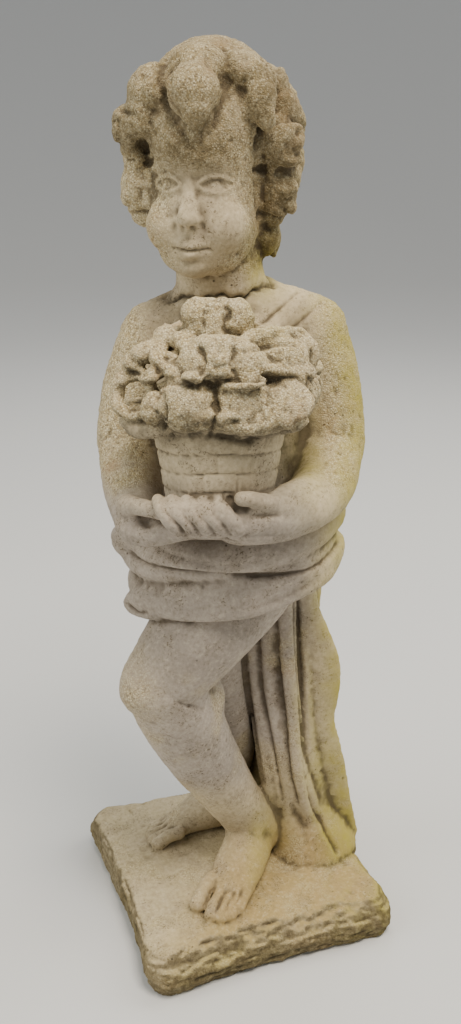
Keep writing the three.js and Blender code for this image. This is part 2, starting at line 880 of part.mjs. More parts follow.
function hair() {
  // [x, y, z, radius, winding, start]: front and crown, sides, then the plainer back.
  const locks = [
    [-31, -62, 782, 27, -1, 10],
    [-64, -28, 781, 24, 1, -50],
    [12, -42, 779, 25, -1, 60],
    [38, -24, 750, 24, -1, 50],
    [35, 10, 771, 25, -1, 40],
    [38, -14, 710, 23, -1, 40],
    [26, 2, 670, 19, -1, 40],
    [-78, -20, 755, 21, 1, -40],
    [-76, -10, 714, 21, 1, -30],
    [-66, 20, 770, 24, 1, -30],
    [-48, 46, 778, 27, 1, 30],
    [4, 46, 780, 27, -1, 20],
    [-76, 24, 736, 24, 1, -40],
    [-58, 54, 744, 26, 1, -20],
    [-20, 64, 748, 28, -1, 10],
    [22, 50, 748, 26, -1, 30],
    [40, 30, 734, 23, -1, 30],
    [-66, 30, 698, 22, 1, -30],
    [-42, 54, 702, 24, 1, 10],
    [-6, 58, 704, 25, -1, 0],
    [26, 38, 700, 22, -1, 20],
    [-48, 34, 668, 19, 1, 0],
    [-20, 44, 664, 20, -1, 10],
    [10, 36, 666, 19, -1, 20],
  ];
  // Broad smooth waves from the crown: [x, y, z, half width, half depth] at each station.
  const waves = [
    [
      [-18, 8, 807, 22, 12],
      [-24, -24, 807, 22, 12],
      [-30, -46, 797, 17, 11],
      [-22, -62, 785, 12, 9],
    ],
    [
      [-10, 6, 807, 20, 12],
      [4, -20, 803, 18, 11],
      [18, -34, 791, 14, 9],
    ],
    [
      [-30, 6, 805, 20, 12],
      [-46, -10, 801, 19, 11],
      [-64, -22, 789, 15, 9],
      [-76, -24, 773, 11, 8],
    ],
    [
      [-6, 10, 807, 20, 12],
      [20, 4, 799, 18, 11],
      [40, 6, 785, 14, 9],
    ],
    [
      [-34, 16, 805, 20, 12],
      [-58, 14, 793, 17, 11],
      [-72, 12, 775, 13, 9],
    ],
    [
      [-28, 22, 805, 20, 12],
      [-42, 40, 792, 18, 11],
      [-52, 56, 767, 14, 9],
    ],
    [
      [-14, 22, 807, 20, 12],
      [-6, 44, 795, 18, 11],
      [-10, 62, 771, 14, 9],
    ],
    [
      [-2, 18, 805, 20, 12],
      [18, 34, 790, 17, 11],
      [30, 44, 767, 14, 9],
    ],
  ];
  const mass = blob([-18, 10, 757], [61, 57, 63], [0, 0, 0], 18, 12);
  const nape = blob([-18, 20, 694], [50, 42, 38], [0, 0, 0], 14, 8);
  const lump = ([x, y, z, r]) => blob([x, y, z], [r * 0.86, r * 0.86, r * 0.86], [0, 0, 0], 9, 7);
  return [
    mass,
    nape,
    ...locks.map(lump),
    ...waves.map((w) => limb(w, 10, 6, [0.6, 0.6, 0.2])),
    ...locks.map(([x, y, z, r, hand, start]) => lock([x, y, z], r, hand, start)),
  ];
}

// ---- the casting ---------------------------------------------------------------------------------
const figure = [
  ...trunk(),
  ...arms(),
  ...legs(),
  ...hips(),
  ...fall(),
  basket(),
  ...flowers(),
  ...face(),
  ...hair(),
];
for (const part of figure) {
  part.rotateZ(rad(FIGURE_TURN));
}
const casting = join([plinth(), ...figure]).getMesh();
const castingFaces = Array.from({ length: casting.triVerts.length / 3 }, (_, f) => [
  ...casting.triVerts.slice(3 * f, 3 * f + 3),
]);
const skinFaces = outerSkin(casting.vertProperties, castingFaces);
const geometry = thin(casting.vertProperties, skinFaces, MOST_FACES);

const statue = new THREE.Mesh(
  geometry,
  new THREE.MeshStandardMaterial({ name: 'cast_stone', color: 0xb3a994, roughness: 0.92, metalness: 0 }),
);
statue.name = 'cherub_statue';

const group = new THREE.Group();
group.name = 'cherub_garden_statue';
group.add(statue);

export default group;
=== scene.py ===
import math

import bpy
import numpy as np
from bpy.props import FloatProperty, FloatVectorProperty, IntProperty, PointerProperty
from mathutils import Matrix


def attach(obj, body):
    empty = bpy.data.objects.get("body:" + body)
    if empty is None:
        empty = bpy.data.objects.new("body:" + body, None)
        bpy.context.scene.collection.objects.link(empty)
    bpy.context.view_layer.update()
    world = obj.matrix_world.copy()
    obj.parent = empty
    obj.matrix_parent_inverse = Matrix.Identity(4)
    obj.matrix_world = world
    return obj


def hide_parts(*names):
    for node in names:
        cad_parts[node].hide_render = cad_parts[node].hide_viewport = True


bl_info = {
    "name": "Cherub Garden Statue",
    "version": (1, 0, 0),
    "blender": (4, 5, 0),
    "location": "View3D > Sidebar > Statue",
    "description": "Weathered cast stone cherub with a basket of flowers",
    "category": "Add Mesh",
}

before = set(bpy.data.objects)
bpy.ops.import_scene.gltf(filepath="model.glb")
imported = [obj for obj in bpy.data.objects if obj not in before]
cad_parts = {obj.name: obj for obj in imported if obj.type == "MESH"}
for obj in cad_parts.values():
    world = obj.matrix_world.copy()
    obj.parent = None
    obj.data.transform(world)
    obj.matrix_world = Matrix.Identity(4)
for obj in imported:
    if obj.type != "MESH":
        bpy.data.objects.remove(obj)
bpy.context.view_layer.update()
CAD_NODE = "cherub_statue"
MM = 0.001

FIGURE_TURN = math.radians(-20.75)
BASKET_LOW = np.array([-12, -108, 462.0])
HEAD_CENTRE = np.array([-20.0, -4.0, 735.0])
HEAD_TURN = math.radians(-15)
HEAD_BOW = math.radians(4)
SOLE = 38.0
BASKET_LEAN = math.radians(-10)
BAND_HEIGHT = 14.8
JOINTS_ROUND = 11
JOINT_SPACING = 27.0
PLINTH_HALF, PLINTH_HIGH, PLINTH_CORNER = 130.0, 40.0, 28.0
PLINTH_HOLLOW, PLINTH_WORN = 7.0, 8.0
FRONT_LEAN = 17.0
EYE_OUT, EYE_DOWN = 20, 13
LOCK_TURNS, LOCK_POINTS = 1.05, 14
PIT_COUNT, PITS_ANYWHERE, PIT_SEED = 900, 260, 11
CAMERA_PLACE = (-0.3181, -0.8396, 0.7812)
CAMERA_TURN = (68.445, 0, -20.531)
CAMERA_LENS, CAMERA_SENSOR = 36.94, 36


# ---- small tools -----------------------------------------------------------------------------
def let_go():
    """Nothing stays selected, so an operator acts only on what comes next."""
    bpy.ops.object.select_all(action="DESELECT")


def corners_of(obj):
    """A mesh's corners in millimetres."""
    flat = np.empty(len(obj.data.vertices) * 3)
    obj.data.vertices.foreach_get("co", flat)
    return flat.reshape(-1, 3) / MM


def put_corners(obj, corners):
    """Moves a mesh's corners to places given in millimetres."""
    obj.data.vertices.foreach_set("co", (np.asarray(corners) * MM).ravel())
    obj.data.update()


def normals_of(obj):
    """A mesh's corner normals."""
    flat = np.empty(len(obj.data.vertices) * 3)
    obj.data.vertex_normals.foreach_get("vector", flat)
    return flat.reshape(-1, 3)


def turned(points, x=0.0, y=0.0, z=0.0):
    """Points turned about X, Y and Z in turn, in radians."""
    for angle, (i, j) in ((x, (1, 2)), (y, (2, 0)), (z, (0, 1))):
        if angle:
            a, b = points[:, i].copy(), points[:, j].copy()
            points[:, i] = a * math.cos(angle) - b * math.sin(angle)
            points[:, j] = a * math.sin(angle) + b * math.cos(angle)
    return points


def spline(stations, t):
    """Smooth curve through rows of numbers at shares t of its length in stations."""
    rows = np.asarray(stations, float)
    last = len(rows) - 1
    s = np.clip(np.asarray(t, float), 0, 1) * last
    k = np.minimum(s.astype(int), last - 1)
    f = (s - k)[:, None]
    p1, p2 = rows[k], rows[k + 1]
    p0 = np.where((k > 0)[:, None], rows[np.maximum(k - 1, 0)], 2 * p1 - p2)
    p3 = np.where((k < last - 1)[:, None], rows[np.minimum(k + 2, last)], 2 * p2 - p1)
    bend = 2 * p0 - 5 * p1 + 4 * p2 - p3 + f * (3 * (p1 - p2) + p3 - p0)
    return p1 + 0.5 * f * (p2 - p0 + f * bend)


def ball(around, rows):
    """A unit ball from Blender's own sphere, ready to be shaped."""
    let_go()
    bpy.ops.mesh.primitive_uv_sphere_add(segments=around, ring_count=rows, radius=1.0)
    obj = bpy.context.object
    flat = np.empty(len(obj.data.vertices) * 3)
    obj.data.vertices.foreach_get("co", flat)
    return obj, flat.reshape(-1, 3)


def blob(centre, radii, tip=(0, 0, 0), around=28, rows=18):
    """A ball with three half sizes, turned about X, Y and Z by tip in degrees."""
    obj, unit = ball(around, rows)
    shape = turned(unit * np.array(radii, float), *(math.radians(a) for a in tip))
    put_corners(obj, shape + np.array(centre, float))
    return obj


def limb(stations, sides=32, rounds=32, side=(1, 0, 0)):
    """A ball drawn along stations [x, y, z, half width, half depth]; side is the width's way."""
    cap = 5
    rows = [list(s) + [s[3]] if len(s) == 4 else list(s) for s in stations]
    obj, unit = ball(sides, rounds + 2 * cap)
    ring = np.rint(np.arccos(np.clip(-unit[:, 2], -1, 1)) / math.pi * (rounds + 2 * cap))
    t = np.clip((ring - cap) / rounds, 0, 1)
    low = np.clip(ring / cap, 0, 1)
    high = np.clip((rounds + 2 * cap - ring) / cap, 0, 1)
    at = spline(rows, t)
    along = spline(rows, t + 0.01)[:, :3] - spline(rows, t - 0.01)[:, :3]
    along /= np.linalg.norm(along, axis=1)[:, None]
    across = np.array(side, float)
    u = across - along * (along @ across)[:, None]
    u /= np.linalg.norm(u, axis=1)[:, None]
    v = np.cross(along, u)
    angle = np.arctan2(unit[:, 1], unit[:, 0])
    shrink = np.sin(np.minimum(low, high) * math.pi / 2)
    slide = np.cos(high * math.pi / 2) - np.cos(low * math.pi / 2)
    round_end = np.minimum(at[:, 3], at[:, 4])
    shape = (
        at[:, :3]
        + u * (at[:, 3] * shrink * np.cos(angle))[:, None]
        + v * (at[:, 4] * shrink * np.sin(angle))[:, None]
        + along * (slide * round_end)[:, None]
    )
    put_corners(obj, shape)
    return obj


def levels(rows, section, sides=64, steps=6):
    """A ball whose rings become the sections of a stack; section(row, angles) gives each ring."""
    count = (len(rows) - 1) * steps
    obj, unit = ball(sides, count + 2)
    ring = np.rint(np.arccos(np.clip(-unit[:, 2], -1, 1)) / math.pi * (count + 2))
    row = spline(rows, np.clip((ring - 1) / count, 0, 1))
    pole = (ring == 0) | (ring == count + 2)
    shape = section(row, np.arctan2(unit[:, 1], unit[:, 0]), np.where(pole, 0.0, 1.0))
    put_corners(obj, shape)
    return obj


def use(obj, kind, **settings):
    """Adds a modifier and applies it."""
    let_go()
    bpy.context.view_layer.objects.active = obj
    obj.select_set(True)
    modifier = obj.modifiers.new(kind.title(), kind)
    for key, value in settings.items():
        setattr(modifier, key, value)
    bpy.ops.object.modifier_apply(modifier=modifier.name)


def fuse(parts, grain, ease):
    """Joins parts into one skin on a grid of that many millimetres, then eases it."""
    let_go()
    for part in parts:
        part.select_set(True)
    bpy.context.view_layer.objects.active = parts[0]
    if len(parts) > 1:
        bpy.ops.object.join()
    obj = bpy.context.view_layer.objects.active
    use(obj, "REMESH", mode="VOXEL", voxel_size=grain * MM)
    use(obj, "SMOOTH", iterations=ease, factor=0.5)
    return obj


def lattice_noise(points, size, seed):
    """Smooth noise from -1 to 1 with features of that many millimetres."""
    p = points / size + seed * 17.31
    cell = np.floor(p).astype(np.int64)
    f = p - cell
    f = f * f * (3 - 2 * f)
    total = np.zeros(len(p))
    for dx in (0, 1):
        for dy in (0, 1):
            for dz in (0, 1):
                c = cell + (dx, dy, dz)
                h = (c[:, 0] * 73856093) ^ (c[:, 1] * 19349663) ^ (c[:, 2] * 83492791)
                h = h ^ (seed * 2654435761)
                h = (h ^ (h >> 13)) * 1274126177 & 0xFFFFFFFF
                value = ((h ^ (h >> 16)) & 0xFFFF) / 32767.5 - 1
                w = (f[:, 0] if dx else 1 - f[:, 0]) * (f[:, 1] if dy else 1 - f[:, 1])
                total += value * w * (f[:, 2] if dz else 1 - f[:, 2])
    return total


def fractal(points, size, seed):
    """Three layers of the smooth noise, each half as large and half as strong as the last."""
    return sum(lattice_noise(points, size / 2**k, seed + k) / 2**k for k in range(3)) / 1.75


class Carver:
    """Moves a skin's corners as a carver's tools would, in the figure's own millimetres."""

    def __init__(self, obj, v=None, n=None):
        self.obj = obj
        self.v = corners_of(obj) if v is None else v
        self.n = normals_of(obj) if n is None else n

    def renew(self):
        """Puts the moved corners back in the mesh and takes its normals afresh."""
        put_corners(self.obj, self.v)
        self.n = normals_of(self.obj)

    def stroke(self, path, width, depth, facing, reach=26.0):
        """Presses a groove along a path, or raises a ridge where depth is negative.

        Distance is measured across the way it faces, so the path need not lie on the skin.
        """
        rows = np.asarray(path, float)
        length = np.linalg.norm(np.diff(rows, axis=0), axis=1).sum()
        t = np.linspace(0, 1, max(4, int(length / (width * 0.4))))
        line = spline(rows, t)
        near = np.flatnonzero(
            np.all((self.v > line.min(0) - reach) & (self.v < line.max(0) + reach), axis=1)
        )
        way = np.asarray(facing, float) / np.linalg.norm(facing)
        near = near[self.n[near] @ way > 0.12]
        best = np.full(len(near), 1e9)
        which = np.zeros(len(near), int)
        for k, p in enumerate(line):
            gap = self.v[near] - p
            deep = gap @ way
            d = np.sqrt(np.maximum((gap * gap).sum(1) - deep * deep, 0))
            d[np.abs(deep) > reach] = 1e9
            closer = d < best
            best[closer] = d[closer]
            which[closer] = k
        fade = np.sin(np.pi * np.clip(t[which] * 0.9 + 0.05, 0, 1)) ** 0.5
        amount = depth * np.exp(-2 * (best / width) ** 2) * fade
        self.v[near] -= self.n[near] * amount[:, None]

    def dent(self, centre, radii, depth, facing=None):
        """Presses a soft hollow, or raises a swelling where depth is negative."""
        d = (self.v - np.asarray(centre, float)) / np.asarray(radii, float)
        r = (d * d).sum(1)
        near = np.flatnonzero(r < 4)
        if facing is not None:
            near = near[self.n[near] @ np.asarray(facing, float) > 0]
        self.v[near] -= self.n[near] * (depth * np.exp(-1.6 * r[near]))[:, None]


# Each toe's knuckle, end and radius, big toe first.
LEFT_TOES = [((-22, -56), (-35, -82), 8.8), ((-10, -66), (-22, -95), 7.0),
             ((0, -68), (-12, -98), 6.8),
             ((9, -66), (-3, -95), 6.4), ((17, -61), (6, -86), 6.0)]
RIGHT_TOES = [((-58, 16), (-80, 8), 8.0), ((-66, 26), (-87, 17), 5.8), ((-68, 34), (-90, 26), 5.4),
              ((-68, 42), (-90, 34), 5.2), ((-66, 49), (-86, 42), 5.0)]


# ---- figure ----------------------------------------------------------------------------------
def body_parts():
    """Trunk, arms and legs as a modeller's first masses."""
    return [
        limb([(-2, -12, 372, 60, 50), (-3, -14, 412, 76, 62), (-5, -18, 456, 70, 60),
              (-6, -15, 500, 66, 55), (-5, -8, 545, 68, 50), (-4, -2, 585, 70, 45),
              (-4, 2, 612, 58, 34)], 48),
        limb([(-70, 2, 592, 27), (-40, 2, 601, 29, 30), (-4, 2, 607, 30, 29),
              (34, 2, 605, 29, 30), (70, 2, 597, 27)], side=(0, 1, 0)),
        blob((-36, -32, 568), (32, 20, 28), (0, 0, -8)),
        blob((30, -32, 572), (32, 20, 28), (0, 0, 8)),
        blob((-6, -44, 478), (54, 38, 44)),
        blob((-38, 26, 570), (30, 20, 34), (0, 0, 10)),
        blob((30, 26, 574), (30, 20, 34), (0, 0, -10)),
        limb([(-10, 4, 598, 44, 38), (-12, 0, 634, 38), (-16, -4, 672, 36)], side=(1, 0, 0)),
        limb([(-68, 2, 589, 31), (-84, 0, 546, 31), (-92, -10, 500, 30)]),
        limb([(-91, -8, 496, 30), (-86, -54, 474, 27), (-80, -102, 464, 20)]),
        limb([(66, 2, 593, 31), (79, 0, 550, 31), (86, -10, 500, 30)]),
        limb([(86, -8, 498, 30), (76, -56, 474, 27), (56, -104, 472, 22)]),
        limb([(42, 2, 408, 46), (4, -34, 368, 47), (-38, -62, 326, 43), (-66, -76, 292, 36)], 40),
        blob((-76, -84, 292), (27, 26, 30)),
        blob((-35, -46, 244), (26, 28, 46), (0, 12, 0)),
        limb([(-66, -74, 292, 36), (-49, -56, 242, 38), (-29, -34, 184, 34),
              (-2, -9, 120, 28), (16, 4, 84, 27), (24, 10, 66, 27)], 40),
        limb([(-44, 0, 396, 46), (-32, 10, 306, 42), (-16, 28, 220, 36), (-10, 50, 150, 34),
              (-8, 62, 92, 24), (-6, 64, 66, 24)], 40),
    ]


def foot_parts(heel, toe, wide, tips):
    """A foot from heel to toe; tips gives each toe's knuckle, end and radius, big toe first."""
    heel, toe = np.array(heel, float), np.array(toe, float)
    along = toe - heel
    across = np.array([-along[1], along[0]]) / np.linalg.norm(along)

    def at(t, off, z):
        p = heel + along * t + across * off
        return (p[0], p[1], z)

    way = (-across[0], -across[1], 0)
    sole = limb([(*at(0.04, 0, SOLE + 20), 20, 20), (*at(0.3, 0, SOLE + 23), 25, 24),
                 (*at(0.54, 0, SOLE + 17), wide * 0.92, 17),
                 (*at(0.72, 0, SOLE + 11), wide * 0.78, 12)], side=way)
    toes = []
    for (x0, y0), (x1, y1), r in tips:
        mid = (0.45 * x0 + 0.55 * x1, 0.45 * y0 + 0.55 * y1)
        toes.append(limb([(x0, y0, SOLE + r * 1.9, r * 0.9), (*mid, SOLE + r * 1.75, r * 0.86),
                          (x1, y1, SOLE + r * 1.0, r)], 18, 14, way))
    ball_of_foot = np.mean([tip[0] for tip in tips], 0)
    web = blob((*ball_of_foot, SOLE + 9), (wide * 0.7, wide * 0.62, 12))
    return [sole, web], toes


def hand_parts():
    """Both hands hold the basket from below; fingers lie twisted side by side over the palm."""
    parts = [
        limb([(64, -92, 473, 18, 24), (44, -116, 473, 16, 24), (22, -136, 473, 12, 20),
              (0, -146, 474, 9, 13)], side=(0.6, 0.8, 0)),
        blob((14, -130, 460), (26, 14, 9), (0, -4, 0)),
        limb([(-80, -98, 464, 20), (-80, -114, 459, 15), (-62, -130, 460, 11),
              (-38, -143, 467, 7.5),
              (-14, -149, 469, 6)]),
        limb([(-86, -112, 476, 10), (-78, -126, 481, 7.5), (-66, -137, 483, 7),
              (-55, -142, 482, 6.5)],
             18, 18, (0, 0, 1)),
        limb([(28, -138, 487, 8), (16, -147, 494, 7), (5, -151, 497, 6)], 18, 18),
        blob((-20, -118, 466), (56, 26, 13)),
    ]
    for x in (-55, -43.5, -32, -20.5, -9):
        parts.append(limb([(x - 4, -145, 494, 5), (x, -153, 489, 6.2), (x + 7, -156, 480, 6.4),
                           (x + 12, -153, 471, 5.4)], 18, 16))
    return parts


def carve_hands(tool):
    """Gaps between the fingers, the hollow under the thumb and creases at the knuckles."""
    front = (0, -1, 0.1)
    for x in (-49.5, -38, -26.5, -15):
        tool.stroke([(x - 6, -150, 496), (x, -156, 487), (x + 7, -157, 478), (x + 12, -155, 469)],
                    2.4, 2.0 + 0.5 * math.sin(x), front, 22)
    tool.dent((-71, -134, 470), (9, 12, 5.5), 5, front)
    tool.dent((-3, -150, 495), (3.5, 8, 4), 4, front)
    tool.dent((9, -148, 488), (4, 8, 3), 3, front)
    for row in (
        ([(10, -146, 482), (28, -140, 480), (46, -122, 476)], 3.4, 1.6, front, 26),
        ([(4, -146, 466), (22, -142, 464), (40, -126, 460)], 3.4, 1.6, front, 26),
        ([(-66, -140, 477), (-60, -143, 474), (-50, -146, 472)], 2.4, 1.6, front, 22),
    ):
        tool.stroke(*row)
    tool.renew()


def face_parts():
    """A calm child's head on ordinary proportions, its middle at the origin, looking along -Y."""
    rows = [(-85, 20, -48, -6), (-78, 32, -59, 10), (-64, 40, -64, 28), (-48, 44, -65, 42),
            (-30, 45, -63, 52), (-10, 46, -60, 60), (4, 48, -63, 64), (26, 50, -64, 66),
            (46, 47, -54, 60), (66, 36, -36, 46)]

    def section(row, angle, out):
        z, w, front, back = row.T
        mid = 0.5 * (front + back) + 4
        s = np.sin(angle)
        y = np.where(s < 0, mid + (mid - front) * s, mid + (back - mid) * s)
        x = w * np.cos(angle)
        return np.stack([x * out, mid + (y - mid) * out, z], 1)

    skull = [
        levels(rows, section),
        blob((-19, -40, -46), (23, 23, 24)),
        blob((19, -40, -46), (23, 23, 24)),
        blob((0, -50, -74), (17, 14, 12)),
    ]
    features = [
        limb([(0, -54, -8, 6.5, 7), (0, -58, -21, 7, 7), (0, -64, -32, 7.8, 7.4),
              (0, -66, -36.5, 8.4, 7.2)], 20, 14),
        blob((-8, -60, -38.5), (5.6, 6.5, 4.8)),
        blob((8, -60, -38.5), (5.6, 6.5, 4.8)),
        limb([(-14, -57, -59.5, 2), (-7, -62.5, -56.8, 3.3), (0, -64, -57.8, 3.1),
              (7, -62.5, -56.8, 3.3), (14, -57, -59.5, 2)], 16, 30, (0, 0, 1)),
        limb([(-11, -58, -61.5, 2), (0, -63, -65, 4.2), (11, -58, -61.5, 2)], 16, 24, (0, 0, 1)),
    ]
    return skull, features


def carve_face(tool):
    """Sockets, balls of the eyes, lids, nostrils, mouth line and chin, on ordinary proportions."""
    near = np.flatnonzero(np.linalg.norm(tool.v - HEAD_CENTRE, axis=1) < 125)
    head = Carver(None, *(
        turned(turned(way, z=-HEAD_TURN), x=-HEAD_BOW)
        for way in (tool.v[near] - HEAD_CENTRE, tool.n[near])
    ))
    rise = np.zeros(len(near))
    for side in (-1, 1):
        x, z = head.v[:, 0] - side * EYE_OUT, head.v[:, 2] + EYE_DOWN
        tilt = z + 0.06 * side * x
        u = np.clip(np.abs(x) / 12.5, 0, 1.3)
        inside = 1 - np.minimum(u, 1) ** 2
        top, low = tilt - 5.6 * inside, tilt + 4.4 * inside
        span = 1 - ramp(u, 0.95, 1.2)
        rise -= 3.0 * np.exp(-((x / 15) ** 2) - ((z - 1) / 10) ** 2)
        rise += 3.2 * np.exp(-((x / 10) ** 2) - (z / 8) ** 2)
        rise += span * 1.35 * np.exp(-(((top - 1.0) / 1.5) ** 2))
        rise -= span * 0.5 * np.exp(-(((top - 4.6) / 1.5) ** 2))
        rise += span * 1.0 * np.exp(-(((low + 1.0) / 1.4) ** 2))
        rise -= 0.7 * span * np.exp(-(((low + 4.6) / 2.2) ** 2))
        rise -= 0.7 * ramp(-top, 0, 1.2) * ramp(low, 0, 1.2) * (u < 1)
        rise -= 0.6 * np.exp(-(((np.hypot(x, z) - 3.9) / 0.8) ** 2))
        rise += 1.2 * np.exp(-((x / 16) ** 2) - ((z - 17) / 6) ** 2)
        fold = ((head.v[:, 0] - side * 12) / 4) ** 2 + ((head.v[:, 2] + 47) / 8) ** 2
        rise -= 0.7 * np.exp(-fold)
    front = ramp(-head.n[:, 1], 0.15, 0.5) * ramp(-head.v[:, 1], 30, 38)
    front *= ramp(head.v[:, 2], -60, -40)
    head.v[:, 1] -= rise * front
    front = (0, -1, 0)
    for row in (
        ([(-14, -60, -60), (-7, -66, -60.4), (0, -68, -61.2), (7, -66, -60.4), (14, -60, -60)], 1.5,
         3.0, front),
        ([(0, -66, -48), (0, -67, -53)], 3.0, 0.7, front),
        ([(-9, -62, -70), (0, -64, -71), (9, -62, -70)], 4.5, 1.8, front),
    ):
        head.stroke(*row)
    for side in (-1, 1):
        head.dent((side * 4.4, -68, -43.5), (2.8, 4, 2.4), 3.0)
        head.dent((side * 15, -58, -60), (2.8, 5, 2.8), 1.7, front)
        head.stroke([(side * 10, -62, -38), (side * 13, -58, -45)], 3.0, 1.2, front)
    tool.v[near] = turned(turned(head.v, x=HEAD_BOW), z=HEAD_TURN) + HEAD_CENTRE
    tool.renew()


# Masses of hair: middle, half sizes and turn about Y; worn so soft that each runs into the next.
MASSES = [
    ((-18, 10, 757), (61, 58, 70), 0), ((-18, 22, 696), (50, 42, 38), 0),
    ((-28, -36, 802), (24, 22, 18), 0), ((-31, -61, 786), (21, 21, 20), 0),
    ((-30, -68, 774), (13, 13, 14), 0), ((-62, -28, 787), (22, 28, 19), 30),
    ((-70, -30, 768), (15, 22, 18), 14), ((-85, -22, 757), (12, 17, 20), 6),
    ((-80, -18, 736), (11, 16, 10), 0), ((-80, -10, 713), (13, 19, 23), -6),
    ((-72, 2, 692), (14, 18, 12), 0), ((10, -30, 798), (24, 24, 16), -24),
    ((20, -44, 780), (13, 17, 17), -12), ((25, -50, 767), (9, 11, 11), 0),
    ((27, 0, 788), (16, 22, 19), -30), ((38, -4, 774), (13, 20, 15), -20),
    ((44, 8, 759), (14, 24, 21), 0), ((36, -24, 751), (20, 17, 18), 0),
    ((38, -20, 738), (17, 17, 14), 0), ((36, -12, 712), (16, 18, 17), 0),
    ((34, -10, 700), (17, 17, 16), 0), ((42, 4, 722), (13, 20, 18), 0),
    ((26, 0, 674), (14, 16, 13), 0), ((28, 2, 664), (11, 14, 10), 0),
    ((-66, 24, 768), (22, 24, 22), 0), ((-48, 48, 776), (25, 22, 22), 0),
    ((4, 48, 778), (26, 22, 22), 0), ((34, 30, 774), (20, 24, 22), 0),
    ((-74, 26, 734), (20, 22, 20), 0), ((-56, 56, 742), (24, 20, 23), 0),
    ((-20, 66, 746), (26, 18, 25), 0), ((22, 54, 744), (24, 20, 23), 0),
    ((42, 30, 732), (18, 22, 20), 0), ((-64, 32, 696), (20, 20, 20), 0),
    ((-40, 56, 700), (22, 19, 21), 0), ((-4, 60, 702), (23, 18, 22), 0),
    ((26, 40, 698), (20, 20, 20), 0), ((-48, 36, 666), (17, 17, 16), 0),
    ((-20, 46, 662), (18, 17, 16), 0), ((10, 38, 664), (17, 16, 16), 0),
    ((-68, -8, 720), (15, 22, 36), 0), ((32, -4, 728), (15, 24, 42), 0),
    ((-64, 28, 716), (17, 20, 16), 0), ((34, 26, 716), (18, 22, 18), 0),
    ((-44, 50, 721), (20, 16, 15), 0), ((-10, 57, 722), (22, 16, 15), 0),
    ((20, 44, 721), (20, 18, 15), 0),
]
# Curls that wind: middle, radius, way of winding, where the winding starts.
CURLS = [
    (-86, -26, 756, 17, 1, 20), (-80, -16, 712, 18, 1, 10), (38, -26, 748, 19, -1, 30),
    (38, -16, 706, 18, -1, 20), (29, 0, 668, 13, -1, 30), (36, -2, 787, 17, -1, 80),
    (-66, 24, 768, 21, 1, -30), (-48, 48, 776, 24, 1, 30), (4, 48, 778, 25, -1, -20),
    (34, 30, 774, 20, -1, 40), (-74, 26, 734, 20, 1, -40), (-56, 56, 742, 23, 1, -20),
    (-20, 66, 746, 25, -1, 10), (22, 54, 744, 23, -1, 30), (42, 30, 732, 19, -1, 30),
    (-64, 32, 696, 20, 1, -30), (-40, 56, 700, 21, 1, 10), (-4, 60, 702, 22, -1, 0),
    (26, 40, 698, 20, -1, 20), (-48, 36, 666, 16, 1, 0), (-20, 46, 662, 17, -1, 10),
    (10, 38, 664, 16, -1, 20),
]
# Partings between the masses: path, width and depth.
PARTINGS = [
    ([(-40, -22, 820), (-54, -42, 805), (-56, -60, 788), (-50, -72, 772), (-40, -80, 760)], 5.0,
     4.0),
    ([(-8, -26, 820), (-5, -48, 803), (-6, -64, 787), (-14, -76, 771), (-24, -82, 760)], 5.0, 2.6),
    ([(-36, -40, 812), (-46, -60, 800), (-47, -76, 784), (-42, -82, 774)], 3.6, 1.8),
    ([(-24, -40, 812), (-20, -62, 800), (-22, -80, 784)], 3.6, 1.2),
    ([(-40, 0, 828), (-58, -8, 813), (-76, -14, 793), (-86, -22, 779)], 5.0, 3.0),
    ([(-52, -34, 806), (-64, -44, 792), (-70, -54, 774)], 3.6, 2.0),
    ([(4, -12, 826), (20, -28, 808), (30, -38, 790), (33, -46, 772), (28, -52, 762)], 5.0, 4.2),
    ([(10, -30, 810), (20, -42, 794), (23, -52, 776)], 3.2, 1.6),
    ([(16, 6, 824), (34, 2, 808), (46, -4, 788), (46, -16, 772)], 4.4, 3.2),
    ([(24, -42, 763), (32, -42, 768), (46, -32, 768), (56, -14, 764), (60, 4, 756)], 5.0, 4.6),
    ([(24, -38, 729), (34, -38, 726), (48, -26, 726), (58, -6, 730)], 5.0, 4.8),
    ([(20, -28, 685), (32, -26, 684), (44, -12, 686), (50, 4, 690)], 5.0, 4.6),
    ([(-76, -42, 738), (-88, -34, 734), (-96, -20, 735), (-98, -6, 740)], 4.4, 5.4),
    ([(-98, -30, 778), (-86, -42, 772), (-74, -52, 768)], 4.0, 3.6),
    ([(-70, -32, 694), (-80, -24, 689), (-88, -10, 690)], 4.0, 3.0),
    ([(26, -46, 758), (24, -44, 740), (24, -42, 728)], 4.0, 2.0),
    ([(23, -38, 722), (21, -36, 706), (22, -32, 690)], 4.0, 2.0),
]


def lock_line(x, y, z, radius, hand, start):
    """The inward winding line of a lock, laid flat on its outward side, and its outward way."""
    centre = np.array([x, y, z], float)
    out = centre - HEAD_CENTRE
    out /= np.linalg.norm(out)
    u = np.array([0, 0, 1.0]) - out * out[2]
    u /= np.linalg.norm(u)
    v = np.cross(out, u)
    t = np.linspace(0, 1, LOCK_POINTS)
    a = np.radians(start) + hand * LOCK_TURNS * 2 * np.pi * t
    reach = radius * (1.05 - 0.8 * t)
    line = centre + np.outer(reach * np.cos(a), u) + np.outer(reach * np.sin(a), v)
    return line, out


def hair_parts():
    """The soft masses of hair over the skull."""
    return [blob(centre, radii, (0, -tip, 0)) for centre, radii, tip in MASSES]


